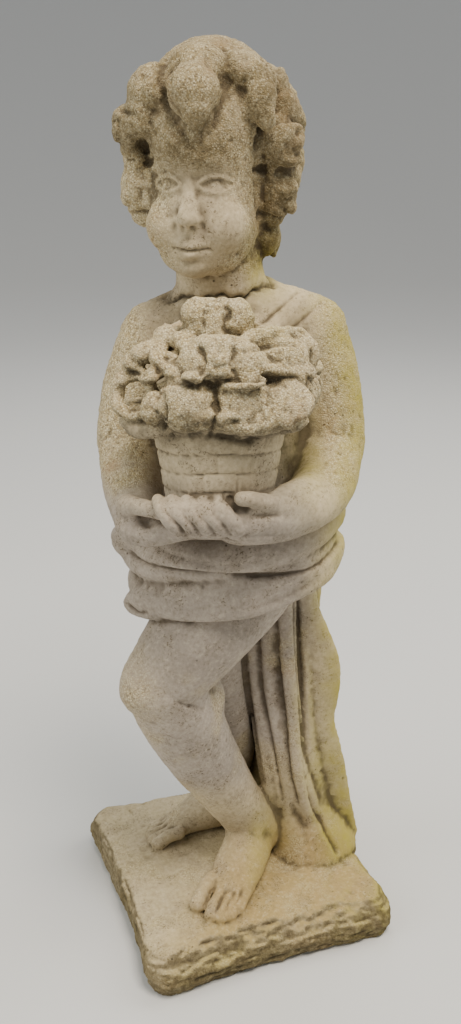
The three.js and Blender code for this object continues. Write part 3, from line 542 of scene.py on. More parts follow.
def carve_hair(tool):
    """Partings between the masses, and two winding furrows and an eye in each curl."""
    for path, width, depth in PARTINGS:
        tool.stroke(path, width, depth, np.mean(np.array(path, float), 0) - HEAD_CENTRE, 30)
    tool.renew()
    for x, y, z, radius, hand, start in CURLS:
        centre = np.array([x, y, z], float)
        for lead, width, depth in ((0, 3.6, 3.6), (75, 2.8, 1.2)):
            line, out = lock_line(x, y, z, radius, hand, start + hand * lead)
            tool.stroke(line[1:], width, depth, out, radius * 1.3)
        line, out = lock_line(x, y, z, radius, hand, start)
        eye = centre + (line[-1] - centre) * 0.6 + out * radius * 0.8
        tool.dent(eye, (radius * 0.26,) * 3, radius * 0.2)
    tool.renew()


# ---- drapery ---------------------------------------------------------------------------------
def hip_cloth():
    """A cloth wound round the hips: a hanging band, a thick rolled top and a loose corner."""
    rows = [(0.0, 0.86), (0.0, 0.95), (0.05, 1.0), (0.2, 1.0), (0.36, 0.97), (0.45, 0.935),
            (0.5, 0.94), (0.58, 1.0), (0.72, 1.03), (0.86, 0.99), (0.97, 0.88), (1, 0.74)]

    def section(row, a, out):
        up, size = row.T
        swag = 0.02 * np.sin(3 * a + 6 * up + 1) + 0.012 * np.sin(8 * a + 4 * up)
        grow = size * (1 + swag) * out
        x = 98 * np.cos(a) * grow
        sag = 8 * np.maximum(0, -np.sin(a)) * (1 - up)
        tilt = 0.14 * x - 0.0009 * x * x * (up > 0.3)
        return np.stack([x, -18 + 88 * np.sin(a) * grow, 376 + tilt - sag + up * (71 + 0.1 * x)], 1)

    return [
        levels(rows, section, 128, 5),
        limb([(-86, -40, 412, 14, 18), (-97, -28, 409, 13, 15), (-103, -12, 407, 10, 12)], 24, 16,
             (0, 1, 0)),
        limb([(-44, -84, 376, 4, 6), (-70, -74, 374, 8, 10), (-86, -58, 367, 9, 9),
              (-94, -46, 358, 8, 6)], 20, 24, (0.5, 0.8, 0)),
        limb([(-50, -84, 362, 4, 4), (-76, -68, 358, 8, 6), (-92, -48, 352, 6, 5)], 20, 24,
             (0.5, 0.8, 0)),
    ]


def falling_cloth():
    """The long end behind the leg: tube folds, an outer fold with a loose tip, a spread foot."""
    return [
        limb([(50, 42, 396, 36, 34), (47, 46, 310, 27, 24), (50, 44, 220, 26, 22),
              (56, 36, 150, 28, 24), (65, 28, 100, 33, 29), (71, 25, 72, 39, 35),
              (76, 24, 54, 45, 41),
              (79, 24, 38, 51, 47), (80, 24, 26, 52, 48)], 48, 54, (1, 0, 0)),
        limb([(63, 16, 384, 14, 13), (66, 18, 300, 13, 12), (70, 17, 210, 13, 12),
              (76, 17, 150, 14, 12),
              (86, 20, 96, 14, 12)], 24, 40, (1, 0.2, 0)),
        limb([(34, 16, 366, 28, 14), (36, 18, 280, 25, 14), (43, 18, 200, 23, 13),
              (50, 18, 140, 23, 14),
              (60, 20, 90, 26, 16)], 32, 40, (1, 0.1, 0)),
        limb([(15, 8, 340, 8.5), (18, 9, 270, 8.5), (26, 10, 200, 8.5), (34, 10, 140, 9.5),
              (43, 12, 96, 11), (50, 16, 64, 11)], 24),
        limb([(30, 0, 350, 9), (33, 3, 260, 9), (41, 4, 190, 9), (48, 6, 140, 10), (58, 8, 96, 12),
              (66, 10, 62, 11)], 24),
        limb([(46, -8, 366, 12), (50, -3, 280, 10.5), (57, -1, 210, 10.5), (63, 0, 150, 12),
              (74, 4, 100, 14), (84, 10, 62, 12)], 24),
        limb([(64, 6, 384, 12, 16), (67, 12, 330, 13, 11), (77, 14, 292, 17, 8),
              (86, 15, 258, 20, 7.5),
              (86, 16, 222, 19.5, 7.5), (84, 17, 195, 18.5, 7.5), (91, 19, 158, 20, 7.5),
              (98, 22, 124, 20, 7.5), (108, 25, 86, 17, 7.5), (119, 29, 56, 13, 6),
              (127, 32, 44, 8, 5)],
             32, 64),
        limb([(66, 34, 340, 14, 18), (78, 38, 250, 12, 20), (78, 38, 195, 12, 20),
              (88, 40, 120, 12, 18),
              (104, 40, 60, 10, 14)], 24, 40, (1, 0, 0)),
        limb([(20, 52, 380, 18), (24, 66, 280, 13), (26, 68, 180, 14), (36, 62, 60, 16)]),
        limb([(48, 60, 386, 18), (50, 76, 280, 12), (53, 74, 180, 13), (64, 66, 60, 16)]),
        limb([(74, 44, 386, 18), (74, 60, 290, 13), (78, 60, 180, 13), (92, 54, 60, 14)]),
    ]


def carve_cloth(tool):
    """Soft wrinkles in the hip cloth and sharp valleys between the falling folds."""
    front = (0, -1, 0.15)
    for row in (
        ([(-102, -40, 412), (-86, -66, 409), (-50, -96, 410), (-20, -106, 411), (30, -98, 407),
          (66, -70, 405), (92, -30, 411)], 3.6, 5.0, front, 60),
        ([(-70, -84, 384), (-30, -104, 380), (20, -104, 382)], 8, 1.2, front, 50),
        ([(-84, -78, 428), (-50, -100, 424), (-14, -106, 421), (20, -100, 423)], 5, 2.2, front, 50),
        ([(16, -104, 380), (52, -88, 388), (86, -48, 398)], 6, 2.0, front, 60),
        ([(44, -90, 420), (76, -60, 420), (98, -14, 426)], 5, 2.4, (0.5, -0.8, 0.2), 60),
        ([(-96, -44, 360), (-88, -56, 356), (-78, -66, 360)], 3.4, 3.6, front, 40),
        ([(-110, -16, 406), (-102, -30, 406), (-88, -50, 404)], 3.0, 2.4, front, 40),
    ):
        tool.stroke(*row)
    for line, width, depth in (
        ([(9, 0, 320), (11, 0, 260), (18, 0, 200), (29, 0, 126)], 3.6, 3.6),
        ([(22, 0, 330), (25, 0, 250), (33, 0, 200), (41, 0, 160), (50, 0, 110)], 3.6, 4.2),
        ([(38, 0, 360), (41, 0, 280), (49, 0, 210), (55, 0, 150), (64, 0, 110)], 3.6, 4.6),
        ([(57, 0, 370), (61, 0, 300), (66, 0, 250), (69, 0, 208), (74, 0, 140)], 4.2, 6.0),
        ([(74, 0, 140), (82, 0, 104), (94, 0, 76), (108, 0, 50)], 3.6, 4.0),
        ([(62, 0, 130), (68, 0, 90), (78, 0, 60)], 9.0, 2.2),
    ):
        tool.stroke(line, width, depth, (0, -1, 0), 46)
    for line in (
        [(36, 90, 370), (38, 90, 220), (50, 90, 80)],
        [(62, 90, 370), (66, 90, 220), (78, 90, 80)],
        [(6, 60, 360), (8, 60, 220), (14, 80, 90)],
    ):
        tool.stroke(line, 5, 5.5, (0, 1, 0), 50)
    tool.renew()


# ---- basket and flowers ----------------------------------------------------------------------
def basket_parts():
    """A tapering basket with a flaring lip, leaning back; the weave is pressed in later."""
    rows = [(0, 37), (4, 40.5), (74, 53), (78, 57), (86, 69), (92, 75), (97, 73)]

    def section(row, a, out):
        z, r = row.T
        return np.stack([r * np.cos(a) * out, r * np.sin(a) * out, z], 1)

    obj = levels(rows, section, 96, 6)
    put_corners(obj, turned(corners_of(obj), x=BASKET_LEAN) + BASKET_LOW)
    return [obj]


def weave(tool):
    """Presses five woven bands and their staggered joints in the basket's side."""
    local = turned(tool.v - BASKET_LOW, x=-BASKET_LEAN)
    z = local[:, 2]
    reach = np.hypot(local[:, 0], local[:, 1])
    wall = 40.5 + (z - 4) * 12.5 / 70
    on = (1 - ramp(np.abs(reach - wall), 2.5, 4.5)) * ramp(z, 2, 8) * (1 - ramp(z, 76, 80))
    angle = np.arctan2(local[:, 1], local[:, 0])
    band = z / BAND_HEIGHT + 0.06 * np.sin(2 * angle + 1) + 0.03 * np.sin(5 * angle)
    row = np.floor(band)
    seam = np.abs(band - np.round(band)) * BAND_HEIGHT
    brick = angle / (2 * math.pi) * JOINTS_ROUND + 0.5 * (row % 2) + 0.1 * row
    joint = np.abs(brick - np.round(brick)) * JOINT_SPACING
    faint = 0.55 + 0.45 * lattice_noise(tool.v, 24, 33)
    depth = 2.3 * faint * np.exp(-((seam / 1.3) ** 2)) + 1.3 * faint * np.exp(-((joint / 1.3) ** 2))
    tool.v -= tool.n * (on * depth)[:, None]
    tool.renew()


def aimed(parts, centre, facing):
    """Turns parts made round +Z to face the way given and moves them to their place."""
    way = np.array(facing, float) / np.linalg.norm(facing)
    axis = np.cross((0, 0, 1), way)
    s, c = np.linalg.norm(axis), way[2]
    axis = axis / s if s > 1e-6 else np.array([1.0, 0, 0])
    k = np.array([[0, -axis[2], axis[1]], [axis[2], 0, -axis[0]], [-axis[1], axis[0], 0]])
    aim = np.eye(3) + s * k + (1 - c) * (k @ k)
    for part in parts:
        put_corners(part, corners_of(part) @ aim.T + np.array(centre, float))
    return parts


def petal(length, width, thick, cup):
    """A petal or leaf that lies out along +X from the origin and curls up towards its end."""
    obj, unit = ball(26, 18)
    x = (unit[:, 0] + 1) * 0.5
    wide = width * np.sin(np.pi * np.clip(x * 0.78 + 0.16, 0, 1))
    rise = cup * length * x**2 + 0.3 * cup * length * unit[:, 1] ** 2
    shape = np.stack([x * length, unit[:, 1] * wide, unit[:, 2] * thick + rise], 1)
    put_corners(obj, shape)
    return obj


def bloom(centre, facing, radius, petals=5, turn=20, cup=0.3):
    """A flower: a heart and two rings of cupped petals, facing the way given."""
    parts = [blob((0, 0, radius * 0.2), (radius * 0.42,) * 3, around=18, rows=12)]
    for layer, (size, lift, bend) in enumerate(((1.0, 0.0, cup), (0.68, 0.16, cup + 0.3))):
        for i in range(petals):
            leaf = petal(radius * size, radius * 0.52 * size, radius * 0.2, bend)
            spin = math.radians(turn) + (i + 0.5 * layer) / petals * 2 * math.pi
            shape = turned(corners_of(leaf), z=spin)
            shape[:, 2] += radius * lift
            put_corners(leaf, shape)
            parts.append(leaf)
    return aimed(parts, centre, facing)


def flower_parts():
    """The heap over the lip: each bloom, bud, fruit and leaf that stands out, worn round."""
    parts = [
        blob((-16, -90, 556), (58, 56, 22), (-8, 0, 0)),
        blob((-12, -84, 582), (42, 40, 28)),
        # rosebud on top: a lumpy cup of upright petals round a heart
        blob((-14, -112, 620), (26, 17, 20)),
        blob((-27, -114, 629), (13, 13, 15)),
        blob((1, -116, 627), (14, 12, 16)),
        blob((-14, -112, 636), (16, 12, 9), (0, 8, 0)),
        # middle rose: petals wrapped one over the other
        blob((-10, -140, 601), (28, 18, 18)),
        blob((-28, -142, 598), (15, 14, 18)),
        blob((9, -144, 599), (16, 14, 16)),
        blob((-12, -154, 600), (15, 9, 12)),
        blob((-12, -142, 611), (25, 13, 10), (-20, 0, 0)),
        blob((6, -156, 588), (20, 8, 6), (0, -10, -16)),
        # lily to the right: one full body with a rolled rim, and a tip that points down
        blob((26, -124, 603), (31, 17, 16), (0, 4, -8)),
        limb([(2, -134, 612, 5), (16, -132, 618, 5.4), (34, -124, 619, 5.4), (50, -114, 616, 4.6)],
             20, 28),
        limb([(46, -118, 612, 8, 6), (56, -116, 604, 9, 6), (58, -117, 592, 6, 5)], 20, 18,
             (1, 0.4, 0)),
        limb([(12, -148, 592, 5), (26, -146, 596, 5.4), (42, -136, 594, 4.6)], 20, 24),
        # small buds and petals to the left
        blob((-50, -108, 611), (13, 12, 10)),
        blob((-36, -122, 610), (12, 12, 9), (0, 20, 0)),
        blob((-64, -118, 603), (16, 11, 8), (0, -12, 14)),
        blob((-76, -118, 594), (9, 9, 8)),
        blob((-52, -134, 600), (13, 10, 7), (0, 16, 0)),
        blob((-60, -138, 590), (11, 9, 6), (0, -20, 0)),
        blob((-44, -146, 594), (11, 9, 6), (0, 24, 0)),
        # ball-shaped fruit at the front
        blob((-35, -150, 571), (21, 18, 22)),
        blob((-61, -143, 566), (9.5, 9, 14), (0, 8, 0)),
        blob((-30, -162, 594), (9, 7, 5)),
        blob((-10, -140, 570), (16, 18, 22)),
        blob((32, -131, 590), (30, 15, 12)),
        blob((4, -147, 574), (24, 14, 18), (-30, 0, 0)),
        # broad leaf over the lip and the rough mass under it
        blob((20, -142, 572), (41, 11, 24), (-38, 0, -12)),
        blob((12, -152, 562), (30, 9, 14), (-34, 0, 4)),
        blob((16, -132, 552), (42, 22, 11), (-6, -4, -10)),
        # knob at the right
        blob((60, -98, 586), (9, 9, 8)),
        blob((48, -98, 592), (15, 14, 10)),
        # leaf tip under the open cup
        limb([(-86, -118, 550, 4), (-76, -130, 545, 6), (-62, -138, 547, 6.5), (-50, -142, 550, 5)],
             18, 20),
        # plain blooms at the back
        blob((-48, -70, 590), (20, 18, 14)),
        blob((-14, -56, 592), (22, 18, 14)),
        blob((24, -66, 590), (20, 18, 14)),
        blob((-14, -84, 610), (20, 18, 12)),
    ]
    for k in range(4):
        parts.append(limb([(40 + 4 * k, -138 + 7 * k, 592 - k, 4),
                           (54 + 3 * k, -134 + 9 * k, 580 - k, 5.2),
                           (56 + 2 * k, -130 + 9 * k, 564, 5.2),
                           (46 + 3 * k, -130 + 9 * k, 553 + k, 4.4)], 16, 20))
    let_go()
    bpy.ops.mesh.primitive_torus_add(major_segments=40, minor_segments=16,
                                     major_radius=15.5 * MM, minor_radius=5.6 * MM)
    ring = bpy.context.object
    v = corners_of(ring)
    v += 1.8 * np.sin(4 * np.arctan2(v[:, 1], v[:, 0]))[:, None] * np.array([0, 0, 1.0])
    put_corners(ring, v)
    parts += aimed([ring], (-76, -126, 572), (-0.4, -0.85, 0.35))
    for place, way, radius in (((-50, -64, 600), (-0.4, 0.5, 0.8), 20),
                               ((22, -62, 600), (0.4, 0.5, 0.8), 20),
                               ((-16, -48, 590), (0, 0.8, 0.5), 20),
                               ((58, -72, 578), (0.9, 0.2, 0.4), 16),
                               ((-84, -82, 578), (-0.9, 0.1, 0.4), 16)):
        parts += bloom(place, way, radius)
    return parts


def carve_flowers(tool):
    """Furrows between petals, the sunk heart of the open cup, veins and a ragged leaf edge."""
    front = (0, -1, 0.3)
    tool.stroke([(-10, -126, 648), (-4, -132, 637), (-7, -131, 625), (0, -128, 613)], 3.8, 3.2,
                (0.1, -1, 0.3), 26)
    tool.stroke([(-24, -128, 642), (-22, -130, 630), (-26, -128, 614)], 3.0, 1.4, (0.1, -1, 0.3),
                26)
    tool.dent((-14, -112, 644), (9, 9, 9), 6, (0, 0, 1))
    for row in (
        ([(-30, -146, 617), (-22, -156, 606), (-26, -160, 590)], 3.6, 2.8, front, 30),
        ([(2, -150, 616), (-2, -159, 604), (3, -162, 592)], 3.2, 2.4, front, 30),
        ([(-22, -157, 606), (-12, -161, 601), (-2, -159, 604)], 3.0, 1.8, front, 30),
        ([(-16, -162, 590), (0, -166, 593), (16, -162, 594), (28, -150, 592)], 2.8, 3.4, front, 30),
        ([(4, -146, 608), (18, -144, 612), (36, -134, 612), (48, -124, 609)], 3.0, 2.6, front, 34),
        ([(10, -150, 587), (28, -146, 588), (44, -136, 587)], 3.0, 3.4, front, 34),
        ([(-50, -160, 588), (-38, -166, 591), (-20, -166, 586)], 3.0, 2.8, front, 30),
        ([(-14, -166, 588), (-13, -170, 570), (-18, -168, 552)], 3.0, 3.8, front, 34),
        ([(-52, -152, 552), (-51, -156, 566), (-54, -150, 584)], 2.8, 3.8, front, 34),
        ([(-80, -124, 588), (-62, -136, 590), (-46, -146, 596)], 2.8, 1.8, front, 34),
        ([(-70, -130, 606), (-60, -136, 598), (-52, -146, 586)], 2.6, 1.4, front, 34),
        ([(-12, -172, 553), (8, -174, 549), (30, -166, 550), (52, -144, 555)], 3.4, 4.4, front, 34),
    ):
        tool.stroke(*row)
    tool.dent((-76, -136, 571), (9, 12, 10), 8, (-0.4, -0.9, 0.2))
    tool.dent((-48, -140, 606), (5, 8, 4), 4, front)
    tool.dent((-30, -140, 588), (5, 8, 4), 3, front)
    for k in range(5):
        tool.stroke([(38 + 4 * k, -142 + 7 * k, 592), (52 + 3 * k, -138 + 9 * k, 580),
                     (54 + 2 * k, -134 + 9 * k, 564), (44 + 3 * k, -134 + 9 * k, 553)],
                    2.2, 2.4, (0.7, -0.7, 0.1), 24)
    local = tool.v - np.array([20, -150, 556.0])
    edge = np.exp(-((local[:, 0] / 44) ** 2 + (local[:, 1] / 30) ** 2 + (local[:, 2] / 12) ** 2))
    tool.v += tool.n * (2.2 * edge * lattice_noise(tool.v, 7.0, 17))[:, None]
    tool.renew()


# ---- plinth ----------------------------------------------------------------------------------
def plinth_parts():
    """A square slab with hollowed sides and round corners, whose front side leans back."""
    high, worn = PLINTH_HIGH, PLINTH_WORN
    rows = [(0, 7), (4, 3.5), (20, 0), (high - worn * 1.2, 1), (high - worn * 0.5, worn * 0.35),
            (high - worn * 0.1, worn), (high, worn * 2)]

    def section(row, a, out):
        z, inset = row.T
        h = PLINTH_HALF - inset
        c = PLINTH_CORNER - inset * 0.6
        quarter = np.floor(a / (math.pi / 2) + 0.5)
        b = a - quarter * math.pi / 2
        slope = np.tan(b)
        straight = h - PLINTH_HOLLOW * (1 - np.clip(slope, -1, 1) ** 2)
        x, y = straight, straight * slope
        edge = h - c
        over = np.abs(y) > edge
        cosb, sinb = np.cos(b), np.abs(np.sin(b))
        dot = edge * (cosb + sinb)
        reach = dot + np.sqrt(np.maximum(dot**2 - 2 * edge**2 + c**2, 0))
        x = np.where(over, reach * cosb, x)
        y = np.where(over, np.sign(b) * reach * sinb, y)
        ca, sa = np.cos(quarter * math.pi / 2), np.sin(quarter * math.pi / 2)
        x, y = (x * ca - y * sa) * out, (x * sa + y * ca) * out
        y += FRONT_LEAN * ramp(z, 16, PLINTH_HIGH) * ramp(-y, 50, 118)
        return np.stack([x, y, z], 1)

    obj = levels(rows, section, 160, 6)
    put_corners(obj, turned(corners_of(obj), z=-FIGURE_TURN))
    return [obj]


def carve_body(tool):
    """Spine, shoulder blades, creases at the joints and the sash over the left shoulder."""
    front, back = (0, -1, 0.3), (0, 1, 0)
    for row in (
        ([(-8, 46, 612), (-8, 44, 540), (-6, 50, 460)], 9, 5, back, 40),
        ([(-40, 40, 590), (-30, 44, 560), (-36, 44, 530)], 9, 3, back, 40),
        ([(26, 40, 594), (16, 44, 564), (22, 44, 534)], 9, 3, back, 40),
        ([(58, -6, 634), (36, -30, 618), (8, -50, 598)], 2.6, 2.6, front, 40),
        ([(74, -10, 622), (48, -36, 604), (18, -50, 584)], 2.6, 2.4, front, 40),
        ([(66, -8, 628), (42, -33, 611), (13, -50, 591)], 5, -1.2, front, 40),
        ([(-66, -30, 600), (-54, -40, 570), (-58, -40, 540)], 5, 2.4, (0.2, -1, 0), 40),
        ([(60, -30, 604), (50, -40, 574), (56, -40, 540)], 5, 2.4, (-0.2, -1, 0), 40),
        ([(-60, -110, 302), (-40, -100, 282), (-24, -80, 268)], 4, 2.0, (0, -1, 0), 60),
        ([(-108, -90, 276), (-88, -116, 266), (-64, -116, 262)], 6, 2.0, (0, -1, 0), 60),
    ):
        tool.stroke(*row)
    for tips in (LEFT_TOES, RIGHT_TOES):
        for (a, b, _), (c, d, _) in zip(tips, tips[1:]):
            tip = (np.array(b) + np.array(d)) / 2
            root = (np.array(a) + np.array(c)) / 2
            way = (tip - root) / np.linalg.norm(tip - root)
            path = [(*(tip + way * t), SOLE + z)
                    for t, z in ((5, 4), (-4, 11), (-10, 15), (-20, 21))]
            tool.stroke(path, 3.0, 2.0, (0, 0, 1), 24)
    tool.dent((-82, -112, 294), (15, 14, 17), -2.2)
    tool.dent((24, -20, 84), (7, 10, 9), -2.5)
    tool.renew()


def neck_line(angle):
    """Height of the mended break round the neck, in millimetres, at an angle seen from above."""
    wander = 2.4 * np.sin(3 * angle + 1) + 1.5 * np.sin(7 * angle) + 0.9 * np.sin(17 * angle + 2)
    return 633 + 5 * np.cos(angle) + 5 * np.sin(angle) + wander


def neck_gap(v):
    """How far each point lies from the mended break, along the neck."""
    dx, dy = v[:, 0] + 12, v[:, 1]
    angle = np.arctan2(dy, dx)
    gap = np.abs(v[:, 2] - neck_line(angle))
    return np.where(np.hypot(dx, dy) < 58, gap, 99.0)


def wear_surface(tool):
    """Decades outdoors: soft waves, gritty hair, arms and flowers, a rough plinth and pits."""
    v = tool.v
    rng = np.random.default_rng(PIT_SEED)
    gap = neck_gap(v)
    ragged = 2.0 + 1.2 * fractal(v, 9, 5)
    tool.v -= tool.n * (3.8 * np.exp(-((gap / ragged) ** 2)))[:, None]
    gritty = grit_zone(v)
    bloom_zone = ramp(-v[:, 1], 62, 76) * ramp(v[:, 2], 545, 556) * (1 - ramp(v[:, 2], 650, 654))
    coarse = 0.6 * fractal(v, 16, 1) + 1.5 * bloom_zone * fractal(v, 9, 15)
    tool.v += tool.n * (coarse + (0.28 + 0.45 * gritty) * lattice_noise(v, 3.6, 3))[:, None]
    wall = (v[:, 2] < 39) & (np.abs(tool.n[:, 2]) < 0.86)
    flat = v * np.array([0.22, 0.22, 1.0])
    grain = 2.4 * fractal(flat, 5, 7) + 1.2 * lattice_noise(flat, 2.2, 8) - 0.6
    tool.v += tool.n * (wall * (grain + 2.2 * fractal(v, 22, 9)))[:, None]
    slab = (v[:, 2] < 43) & (tool.n[:, 2] > 0.7)
    tool.v += tool.n * (slab * (1.8 * fractal(v, 26, 19) + 0.7 * fractal(v, 7, 23)))[:, None]
    tool.renew()
    places = rng.choice(len(v), PIT_COUNT, replace=False)
    for k, at in enumerate(places):
        low = v[at, 2] < 42
        if k > PITS_ANYWHERE and gritty[at] < 0.6:
            continue
        r = rng.uniform(1.4, 3.6 if low else 2.6)
        near = np.flatnonzero(np.abs(tool.v - tool.v[at]).max(1) < 2 * r)
        d = np.linalg.norm(tool.v[near] - tool.v[at], axis=1) / r
        tool.v[near] -= tool.n[near] * (rng.uniform(0.4, 0.75) * r * np.exp(-1.5 * d * d))[:, None]
    for x, y in ((-64, -128), (-50, -150), (112, -64), (104, -74), (118, -56), (-96, 6), (-90, -6)):
        tool.dent((x, y, 40), (6, 5, 6), 2.4, (0, 0, 1))
    tool.v[:, 2] = np.maximum(tool.v[:, 2], 0)
    tool.renew()


def ramp(x, low, high):
    """A smooth step from 0 at low to 1 at high."""
    t = np.clip((x - low) / (high - low), 0, 1)
    return t * t * (3 - 2 * t)


def grit_zone(v):
    """Where rain has washed the cement away and laid the sand bare, from 0 to 1."""
    x, y, z = v.T
    blur = 14 * fractal(v, 30, 21)
    face = ramp(-y + blur * 0.3, 46, 62) * (1 - ramp(z + blur * 0.4, 722, 742))
    hair = ramp(z + blur * 0.5, 640, 660) * (1 - face)
    side = ramp(np.abs(x + 3) + blur * 0.6, 60, 84)
    arms = side * ramp(z, 466, 488) * (1 - ramp(z, 640, 650)) * (1 - ramp(-y, 84, 112))
    blooms = ramp(-y + blur * 0.3, 66, 80) * ramp(z + 0.12 * blur, 545, 556)
    blooms *= 1 - ramp(z, 648, 652)
    feet = 0.55 * ramp(fractal(v, 26, 31), 0.1, 0.5) * (1 - ramp(z, 300, 330)) * ramp(z, 30, 38)
    knee = 0.7 * np.exp(-(((x + 88) / 22) ** 2 + ((z - 292) / 34) ** 2)) * ramp(-y, 40, 70)
    slab = 0.6 * (1 - ramp(z, 20, 36))
    return np.clip(np.maximum.reduce([hair, arms, blooms, feet, knee, slab]), 0, 1)


def paint_wear_and_shade(obj):
    """Stores wear and painted shade at each corner, for the stone's pattern to follow.

    The first layer holds grit, green growth, dirt and painted shade in the hollows, and a dark
    channel of painted shade under the flowers, at the basket lip, between the left arm and the
    body, under the hands and on the plinth's sides, with the dark neck crack. The second, tone,
    holds grime with painted shade on the plinth's sides, cool grey and warm brown.
    """
    v = turned(corners_of(obj).copy(), z=-FIGURE_TURN)
    n = turned(normals_of(obj).copy(), z=-FIGURE_TURN)
    edges = np.empty(len(obj.data.edges) * 2, int)
    obj.data.edges.foreach_get("vertices", edges)
    a, b = edges.reshape(-1, 2).T
    count = np.bincount(a, minlength=len(v)) + np.bincount(b, minlength=len(v))

    def spread(values):
        total = np.zeros_like(values)
        np.add.at(total, a, values[b])
        np.add.at(total, b, values[a])
        return total / (count[:, None] if values.ndim > 1 else count)

    # Hollows: dirt and painted shade in the creases and hollows, from how far each corner lies
    # below its smoothed skin.
    smooth = v.copy()
    hollows = np.zeros(len(v))
    for step in range(28):
        smooth = 0.5 * smooth + 0.5 * spread(smooth)
        if step in (3, 27):
            hollows += np.clip(((smooth - v) * n).sum(1) / (0.42 if step == 3 else 3.2), -1, 2)
    hollows = np.clip(0.55 * hollows, 0, 1)
    hollows = 0.6 * hollows + 0.4 * spread(hollows)
    x, y, z = v.T
    face = ramp(-y, 44, 58) * ramp(z, 648, 660) * (1 - ramp(z, 735, 755))
    slab = (1 - ramp(z, 46, 52)) * ramp(n[:, 2], 0.4, 0.8)
    hollows *= (1 - 0.1 * face) * (1 - 0.5 * slab)
    cloud = fractal(v, 46, 41)
    side = ramp(x + 0.15 * y + 16 * cloud, 40, 112) * ramp(n[:, 0], -0.25, 0.7)
    neck = np.exp(-(((x - 26) / 22) ** 2 + ((z - 655) / 26) ** 2)) * ramp(x, 0, 16)
    edge = ramp(x + 10 * cloud, 78, 112) * ramp(z, 44, 60) * (1 - ramp(z, 400, 440))
    low = 0.45 * (1 - ramp(z + 10 * cloud, 22, 56)) * ramp(cloud, -0.5, 0.5)
    ankle = 0.6 * np.exp(-(((x - 30) / 26) ** 2 + ((z - 80) / 34) ** 2)) * ramp(x, 4, 24)
    pocket = 0.8 * np.exp(-(((x - 58) / 20) ** 2 + ((y + 70) / 50) ** 2 + ((z - 500) / 44) ** 2))
    growth = np.clip(np.maximum.reduce([side, 0.95 * neck, edge, low, ankle, pocket]), 0, 1)
    blooms = ramp(-y, 66, 80) * ramp(z, 528, 536) * (1 - ramp(z, 648, 652))
    # Painted shadow in a band along the basket's lip, under the overhanging flowers.
    lip = 0.7 * blooms * np.exp(-(((z - 545) / 9) ** 2))
    shade = 0.75 * np.exp(-(((x - 50) / 22) ** 2 + ((y + 60) / 34) ** 2 + ((z - 502) / 40) ** 2))
    # Painted shade on the undersides of the flower heap and in its hollows.
    under = ramp(-n[:, 2] + 0.25 * cloud, -0.1, 0.5)
    shade_and_crack = np.clip(blooms * (0.85 * under + 0.5 * hollows), 0, 1)
    # Painted shadow under the hands, on faces turned down.
    tucked = np.exp(-((x / 70) ** 2 + ((y + 120) / 34) ** 2 + ((z - 441) / 16) ** 2))
    tucked *= ramp(-n[:, 2], -0.6, 0.2)
    crack = np.exp(-((neck_gap(v) / 3.2) ** 2))
    # Painted shade on the plinth's sides.
    wall = (1 - ramp(z, 38, 41)) * ramp(1 - np.abs(n[:, 2]), 0.1, 0.34)
    # The dark channel: painted shade under the flowers, at the basket lip, between the left arm and
    # the body, under the hands and on the plinth's sides, with the dark neck crack.
    shade_and_crack = np.maximum.reduce([shade_and_crack, lip, shade, tucked, crack, 0.35 * wall * (0.6 + 0.6 * cloud)])
    colours = np.stack([grit_zone(v), growth, hollows, np.clip(shade_and_crack, 0, 1)], 1)
    layer = obj.data.attributes.new("wear_and_shade", "FLOAT_COLOR", "POINT")
    layer.data.foreach_set("color", colours.ravel())
    drift = 12 * cloud
    brow = np.exp(-(((x + 30) / 44) ** 2 + ((z - 744) / 15) ** 2)) * ramp(-y, 30, 50)
    crown = ramp(z + drift, 728, 752)
    right_hair = ramp(x + drift, -4, 26) * ramp(z, 640, 660) * ramp(-n[:, 1], -0.2, 0.6)
    # Painted shade on the plinth's sides, darkest on those facing front and +X; brow, crown and
    # right hair hold grime.
    side_wall = wall * ramp(-n[:, 1] + n[:, 0], 0.2, 0.9)
    grime_and_shade = np.maximum.reduce([brow, 0.62 * crown, 0.9 * right_hair, 0.85 * wall, side_wall])
    grime_and_shade = np.clip(grime_and_shade * (1 + 0.5 * cloud), 0, 1)
    cool = ramp(z + drift, 128, 190) * (1 - ramp(z + drift, 470, 520))
    cool *= 1 - ramp(x + drift, 46, 84)
    warm = (1 - ramp(z, 60, 110)) * ramp(x - 0.4 * y + drift, -40, 40) * (1 - wall)
    tones = np.stack([grime_and_shade, cool, warm, np.ones(len(v))], 1)
    layer = obj.data.attributes.new("tone", "FLOAT_COLOR", "POINT")
    layer.data.foreach_set("color", tones.ravel())


def linear(hexed):
    """An sRGB hex colour as linear numbers with full alpha."""
    parts = [int(hexed[i:i + 2], 16) / 255 for i in (1, 3, 5)]
    curve = [c / 12.92 if c <= 0.04045 else ((c + 0.055) / 1.055) ** 2.4 for c in parts]
    return (*curve, 1.0)


class StatueSettings(bpy.types.PropertyGroup):
    """Sizes and colours a user may change."""

    skin_grain: FloatProperty(
        name="Skin grain", description="Edge of the finest facets of the carved skin",
        default=1.5 * MM,
        unit="LENGTH", min=0.001)
    face_count: IntProperty(
        name="Faces", description="Triangles kept in the finished casting", default=190000,
        min=20000)
    cement: FloatVectorProperty(
        name="Cement", description="Colour of the clean cement skin", subtype="COLOR", size=4,
        min=0, max=1, default=linear("#c6b797"))
    sand: FloatVectorProperty(
        name="Sand", description="Colour of the palest bared sand grains", subtype="COLOR", size=4,
        min=0, max=1, default=linear("#ebdfba"))
    algae: FloatVectorProperty(
        name="Algae", description="Colour of the green growth", subtype="COLOR", size=4,
        min=0, max=1, default=linear("#a79c45"))
    floor: FloatVectorProperty(
        name="Floor", description="Colour of the studio floor", subtype="COLOR", size=4,
        min=0, max=1, default=linear("#cfd0cf"))


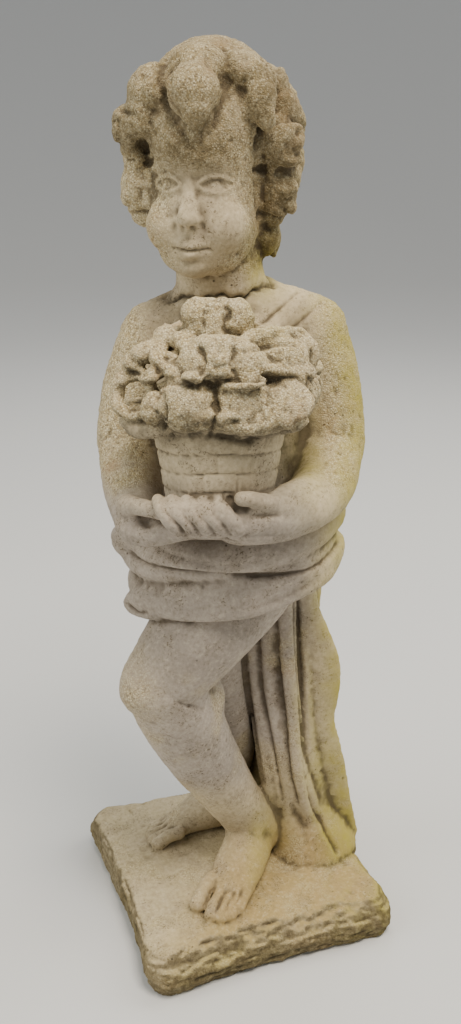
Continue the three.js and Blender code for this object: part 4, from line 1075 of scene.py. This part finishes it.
class STATUE_OT_casting(bpy.types.Operator):
    """Models the figure, basket, drapery and plinth as one weathered casting"""

    bl_idname = "statue.casting"
    bl_label = "Casting"

    def execute(self, context):
        settings = context.scene.statue
        soles, toes = [], []
        for heel, toe, wide, tips in (((27, 20), (-17, -100), 28, LEFT_TOES),
                                      ((4, 66), (-90, 22), 22, RIGHT_TOES)):
            a, b = foot_parts(heel, toe, wide, tips)
            soles += a
            toes += b
        body = fuse(body_parts() + soles, 2.8, 14)
        skull, features = face_parts()
        for part in skull + features:
            put_corners(part, turned(corners_of(part), x=HEAD_BOW, z=HEAD_TURN) + HEAD_CENTRE)
        head = fuse([fuse(skull + hair_parts(), 2.2, 7), *features], 1.6, 4)
        cloth = fuse(hip_cloth() + falling_cloth(), 2.2, 5)
        basket = fuse(basket_parts(), 1.4, 1)
        flowers = fuse(flower_parts(), 1.4, 2)
        small = fuse(hand_parts() + toes, 1.6, 2)
        plinth = fuse(plinth_parts(), 2.5, 1)
        casting = fuse([body, head, cloth, basket, flowers, small, plinth],
                       settings.skin_grain / MM, 2)
        casting.name = "casting"
        if not casting.data.polygons:
            raise RuntimeError("the parts of the casting did not join")
        tool = Carver(casting)
        for carve in (carve_body, carve_face, carve_hair, weave, carve_hands, carve_cloth,
                      carve_flowers,
                      wear_surface):
            carve(tool)
        put_corners(casting, turned(corners_of(casting), z=FIGURE_TURN))
        triangles = sum(len(p.vertices) - 2 for p in casting.data.polygons)
        if triangles > settings.face_count:
            use(casting, "DECIMATE", ratio=settings.face_count / triangles)
        paint_wear_and_shade(casting)
        let_go()
        casting.select_set(True)
        context.view_layer.objects.active = casting
        bpy.ops.object.shade_smooth()
        casting.data.materials.clear()
        casting.data.materials.append(cast_stone(settings))
        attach(casting, "root")
        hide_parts(CAD_NODE)
        return {"FINISHED"}


def add(tree, kind, links=(), **settings):
    """Adds a node with its settings; links are (socket, source socket or value)."""
    node = tree.nodes.new(kind)
    for key, value in settings.items():
        setattr(node, key, value)
    for socket, source in links:
        if isinstance(source, bpy.types.NodeSocket):
            tree.links.new(source, node.inputs[socket])
        else:
            node.inputs[socket].default_value = source
    return node


def cast_stone(settings):
    """Cast stone: cement and pale sand, poured in a mould and worn outdoors for decades.

    The cement skin is warm grey and matt. Where it has gone, pale and brown sand grains of
    1 to 3 mm stand out. Green algae and brown lichen sit on it and dirt lies in its hollows.
    Painted shade darkens the hollows, the undersides of the flowers, the basket lip, the
    underside of the hands and the plinth's sides, and the neck crack is dark.
    """
    material = bpy.data.materials.new("Weathered cast stone")
    material.use_nodes = True
    tree = material.node_tree
    shader = tree.nodes["Principled BSDF"]
    place = add(tree, "ShaderNodeTexCoord").outputs["Object"]
    wear_and_shade = add(tree, "ShaderNodeAttribute", attribute_name="wear_and_shade")
    parts = add(tree, "ShaderNodeSeparateColor", [("Color", wear_and_shade.outputs["Color"])])
    grit, growth, hollows = parts.outputs
    shade_and_crack = wear_and_shade.outputs["Alpha"]
    tone = add(tree, "ShaderNodeAttribute", attribute_name="tone")
    tones = add(tree, "ShaderNodeSeparateColor", [("Color", tone.outputs["Color"])])
    grime_and_shade, cool, warm = tones.outputs

    def noise(per_metre, detail=3.0, rough=0.55):
        links = [("Vector", place), ("Scale", per_metre), ("Detail", detail), ("Roughness", rough)]
        return add(tree, "ShaderNodeTexNoise", links).outputs["Fac"]

    def fit(value, low, high, to_low=0.0, to_high=1.0):
        links = [("Value", value), ("From Min", low), ("From Max", high),
                 ("To Min", to_low), ("To Max", to_high)]
        return add(tree, "ShaderNodeMapRange", links, clamp=True).outputs["Result"]

    def sums(a, b, operation):
        return add(tree, "ShaderNodeMath", [(0, a), (1, b)], operation=operation).outputs[0]

    def times(a, b):
        return sums(a, b, "MULTIPLY")

    def mix(share, first, second):
        node = add(tree, "ShaderNodeMix", [("Factor", share)], data_type="RGBA")
        for socket, source in ((node.inputs[6], first), (node.inputs[7], second)):
            if isinstance(source, str):
                socket.default_value = linear(source)
            elif isinstance(source, bpy.types.NodeSocket):
                tree.links.new(source, socket)
            else:
                socket.default_value = source
        return node.outputs[2]

    clouds = noise(14)
    patches = noise(42, 4.0, 0.6)
    fine = noise(260, 3.0, 0.65)
    specks = noise(480, 2.0, 0.7)
    # Sand grains are 1 to 3 mm; cells of about 1.4 mm show as fine speckle.
    cells = add(tree, "ShaderNodeTexVoronoi", [("Vector", place), ("Scale", 700.0)])
    grain_tone = add(tree, "ShaderNodeSeparateColor",
                     [("Color", cells.outputs["Color"])]).outputs[0]
    rims = fit(cells.outputs["Distance"], 0.28, 0.62)

    cement = mix(fit(clouds, 0.35, 0.65), "#aa9c80", settings.cement)
    grey = mix(fit(clouds, 0.35, 0.65), "#948b82", "#b0a59a")
    cement = mix(times(cool, 0.9), cement, grey)
    cement = mix(times(warm, 0.8), cement, "#a08856")
    cement = mix(times(fit(patches, 0.5, 0.72), 0.5), cement, "#8c8070")
    cement = mix(times(fit(fine, 0.5, 0.7), 0.34), cement, "#6b6049")
    cement = mix(times(fit(fine, 0.46, 0.32), 0.22), cement, "#e0d4ba")
    pitted = times(fit(specks, 0.56, 0.64), fit(patches, 0.44, 0.6))
    cement = mix(times(pitted, 0.75), cement, "#54482f")
    sand = mix(fit(grain_tone, 0.1, 0.8), "#bfac80", settings.sand)
    sand = mix(fit(grain_tone, 0.82, 0.9, 0.0, 0.8), sand, "#6d5b40")
    sand = mix(times(rims, 0.5), sand, "#75664a")
    colour = mix(times(grit, fit(patches, 0.25, 0.6, 0.45, 1.0)), cement, sand)
    lichen = times(times(grit, fit(noise(22, 4.0, 0.6), 0.56, 0.72)), 0.4)
    colour = mix(lichen, colour, "#9a7650")
    algae = times(growth, fit(noise(60, 4.0, 0.6), 0.3, 0.68, 0.4, 0.95))
    colour = mix(algae, colour, settings.algae)
    # Darker algae in the hollows: algae with painted shade there.
    colour = mix(times(growth, times(hollows, 0.8)), colour, "#565626")
    # A film of grime on the brow, crown and right hair, with painted shade on the plinth's sides.
    film_and_shade = times(grime_and_shade, fit(noise(180, 4.0, 0.7), 0.3, 0.6, 0.45, 1.0))
    colour = mix(times(film_and_shade, 0.86), colour, "#51452d")
    # Dirt and painted shade in the hollows.
    dirt_and_shade = times(fit(hollows, 0.14, 0.8), fit(patches, 0.2, 0.7, 0.65, 1.0))
    colour = mix(times(dirt_and_shade, 0.88), colour, "#4a3f30")
    # Painted shade under the flowers, at the basket lip, beside the left arm, under the hands and
    # on the plinth's sides, and the dark neck crack.
    dark_shade_and_crack = times(shade_and_crack, fit(noise(120, 4.0, 0.7), 0.3, 0.6, 0.25, 1.0))
    colour = mix(times(dark_shade_and_crack, 0.85), colour, "#3b352b")
    # Pinholes left by air in the mix, 1 to 2 mm wide and some 12 mm apart, dark with dirt and
    # painted shade inside.
    holes = add(tree, "ShaderNodeTexVoronoi", [("Vector", place), ("Scale", 82.0)])
    pin = fit(holes.outputs["Distance"], 0.05, 0.1, 1.0, 0.0)
    few = fit(noise(30, 2.0), 0.5, 0.6)
    colour = mix(times(times(pin, few), 0.75), colour, "#3a3128")
    tree.links.new(colour, shader.inputs["Base Color"])

    bumps = sums(times(times(rims, grit), -1.0), times(fine, 0.6), "ADD")
    bumps = sums(bumps, times(pin, few), "SUBTRACT")
    links = [("Height", bumps), ("Strength", 0.6), ("Distance", 0.0009)]
    tree.links.new(add(tree, "ShaderNodeBump", links).outputs["Normal"], shader.inputs["Normal"])
    shader.inputs["Roughness"].default_value = 0.93
    shader.inputs["Specular IOR Level"].default_value = 0.2
    return material


class STATUE_OT_stage(bpy.types.Operator):
    """Lays a pale floor, sets soft light and places the camera"""

    bl_idname = "statue.stage"
    bl_label = "Stage"

    def execute(self, context):
        if "casting" not in bpy.data.objects:
            raise RuntimeError("the casting has to be modelled before its stage")
        let_go()
        bpy.ops.mesh.primitive_grid_add(x_subdivisions=80, y_subdivisions=80, size=16)
        floor = context.object
        floor.name = "floor"
        sweep = corners_of(floor)
        away = np.maximum(np.hypot(sweep[:, 0], sweep[:, 1]) - 2600, 0)
        sweep[:, 2] = away**2 * 0.00011
        put_corners(floor, sweep)
        bpy.ops.object.shade_smooth()
        paint = bpy.data.materials.new("Matt pale studio paint")
        paint.use_nodes = True
        coat = paint.node_tree.nodes["Principled BSDF"].inputs
        coat["Base Color"].default_value = context.scene.statue.floor
        coat["Roughness"].default_value = 0.95
        floor.data.materials.append(paint)
        for name, place, aim, size, power, tint in (
            ("key", (0.15, -1.0, 2.6), (0, 0, 0.45), 1.0, 74, "#fff3e2"),
            ("left", (-1.7, 0.1, 1.5), (0, 0, 0.45), 1.5, 24, "#fbf7ea"),
            ("right", (1.7, 0.1, 1.5), (0, 0, 0.45), 1.5, 24, "#fbf7ea"),
            ("rim", (0.7, 1.8, 2.0), (0, 0, 0.5), 1.4, 16, "#ffffff"),
        ):
            bpy.ops.object.light_add(type="AREA", location=place)
            lamp = context.object
            lamp.name = name
            lamp.data.size = size
            lamp.data.energy = power
            lamp.data.color = linear(tint)[:3]
            away = np.array(place) - np.array(aim)
            lamp.rotation_euler = (math.acos(away[2] / np.linalg.norm(away)), 0,
                                   math.atan2(away[0], -away[1]))
        world = bpy.data.worlds.new("Pale room")
        world.use_nodes = True
        sky = world.node_tree.nodes["Background"].inputs
        sky["Color"].default_value = linear("#dfe1e3")
        sky["Strength"].default_value = 0.58
        context.scene.world = world
        camera_data = bpy.data.cameras.new("camera")
        camera_data.lens = CAMERA_LENS
        camera_data.sensor_width = CAMERA_SENSOR
        camera = bpy.data.objects.new("camera", camera_data)
        context.collection.objects.link(camera)
        camera.location = CAMERA_PLACE
        camera.rotation_euler = [math.radians(angle) for angle in CAMERA_TURN]
        context.scene.camera = camera
        return {"FINISHED"}


class STATUE_PT_panel(bpy.types.Panel):
    """Lists the statue's operators"""

    bl_label = "Statue"
    bl_idname = "STATUE_PT_panel"
    bl_space_type = "VIEW_3D"
    bl_region_type = "UI"
    bl_category = "Statue"

    def draw(self, context):
        for cls in (STATUE_OT_casting, STATUE_OT_stage):
            self.layout.operator(cls.bl_idname)
        for setting in ("skin_grain", "face_count", "cement", "sand", "algae", "floor"):
            self.layout.prop(context.scene.statue, setting)


CLASSES = (StatueSettings, STATUE_OT_casting, STATUE_OT_stage, STATUE_PT_panel)


def register():
    for cls in CLASSES:
        bpy.utils.register_class(cls)
    bpy.types.Scene.statue = PointerProperty(type=StatueSettings)


def unregister():
    del bpy.types.Scene.statue
    for cls in reversed(CLASSES):
        bpy.utils.unregister_class(cls)


def main():
    register()
    bpy.ops.statue.casting()
    bpy.ops.statue.stage()


if __name__ == "__main__":
    main()
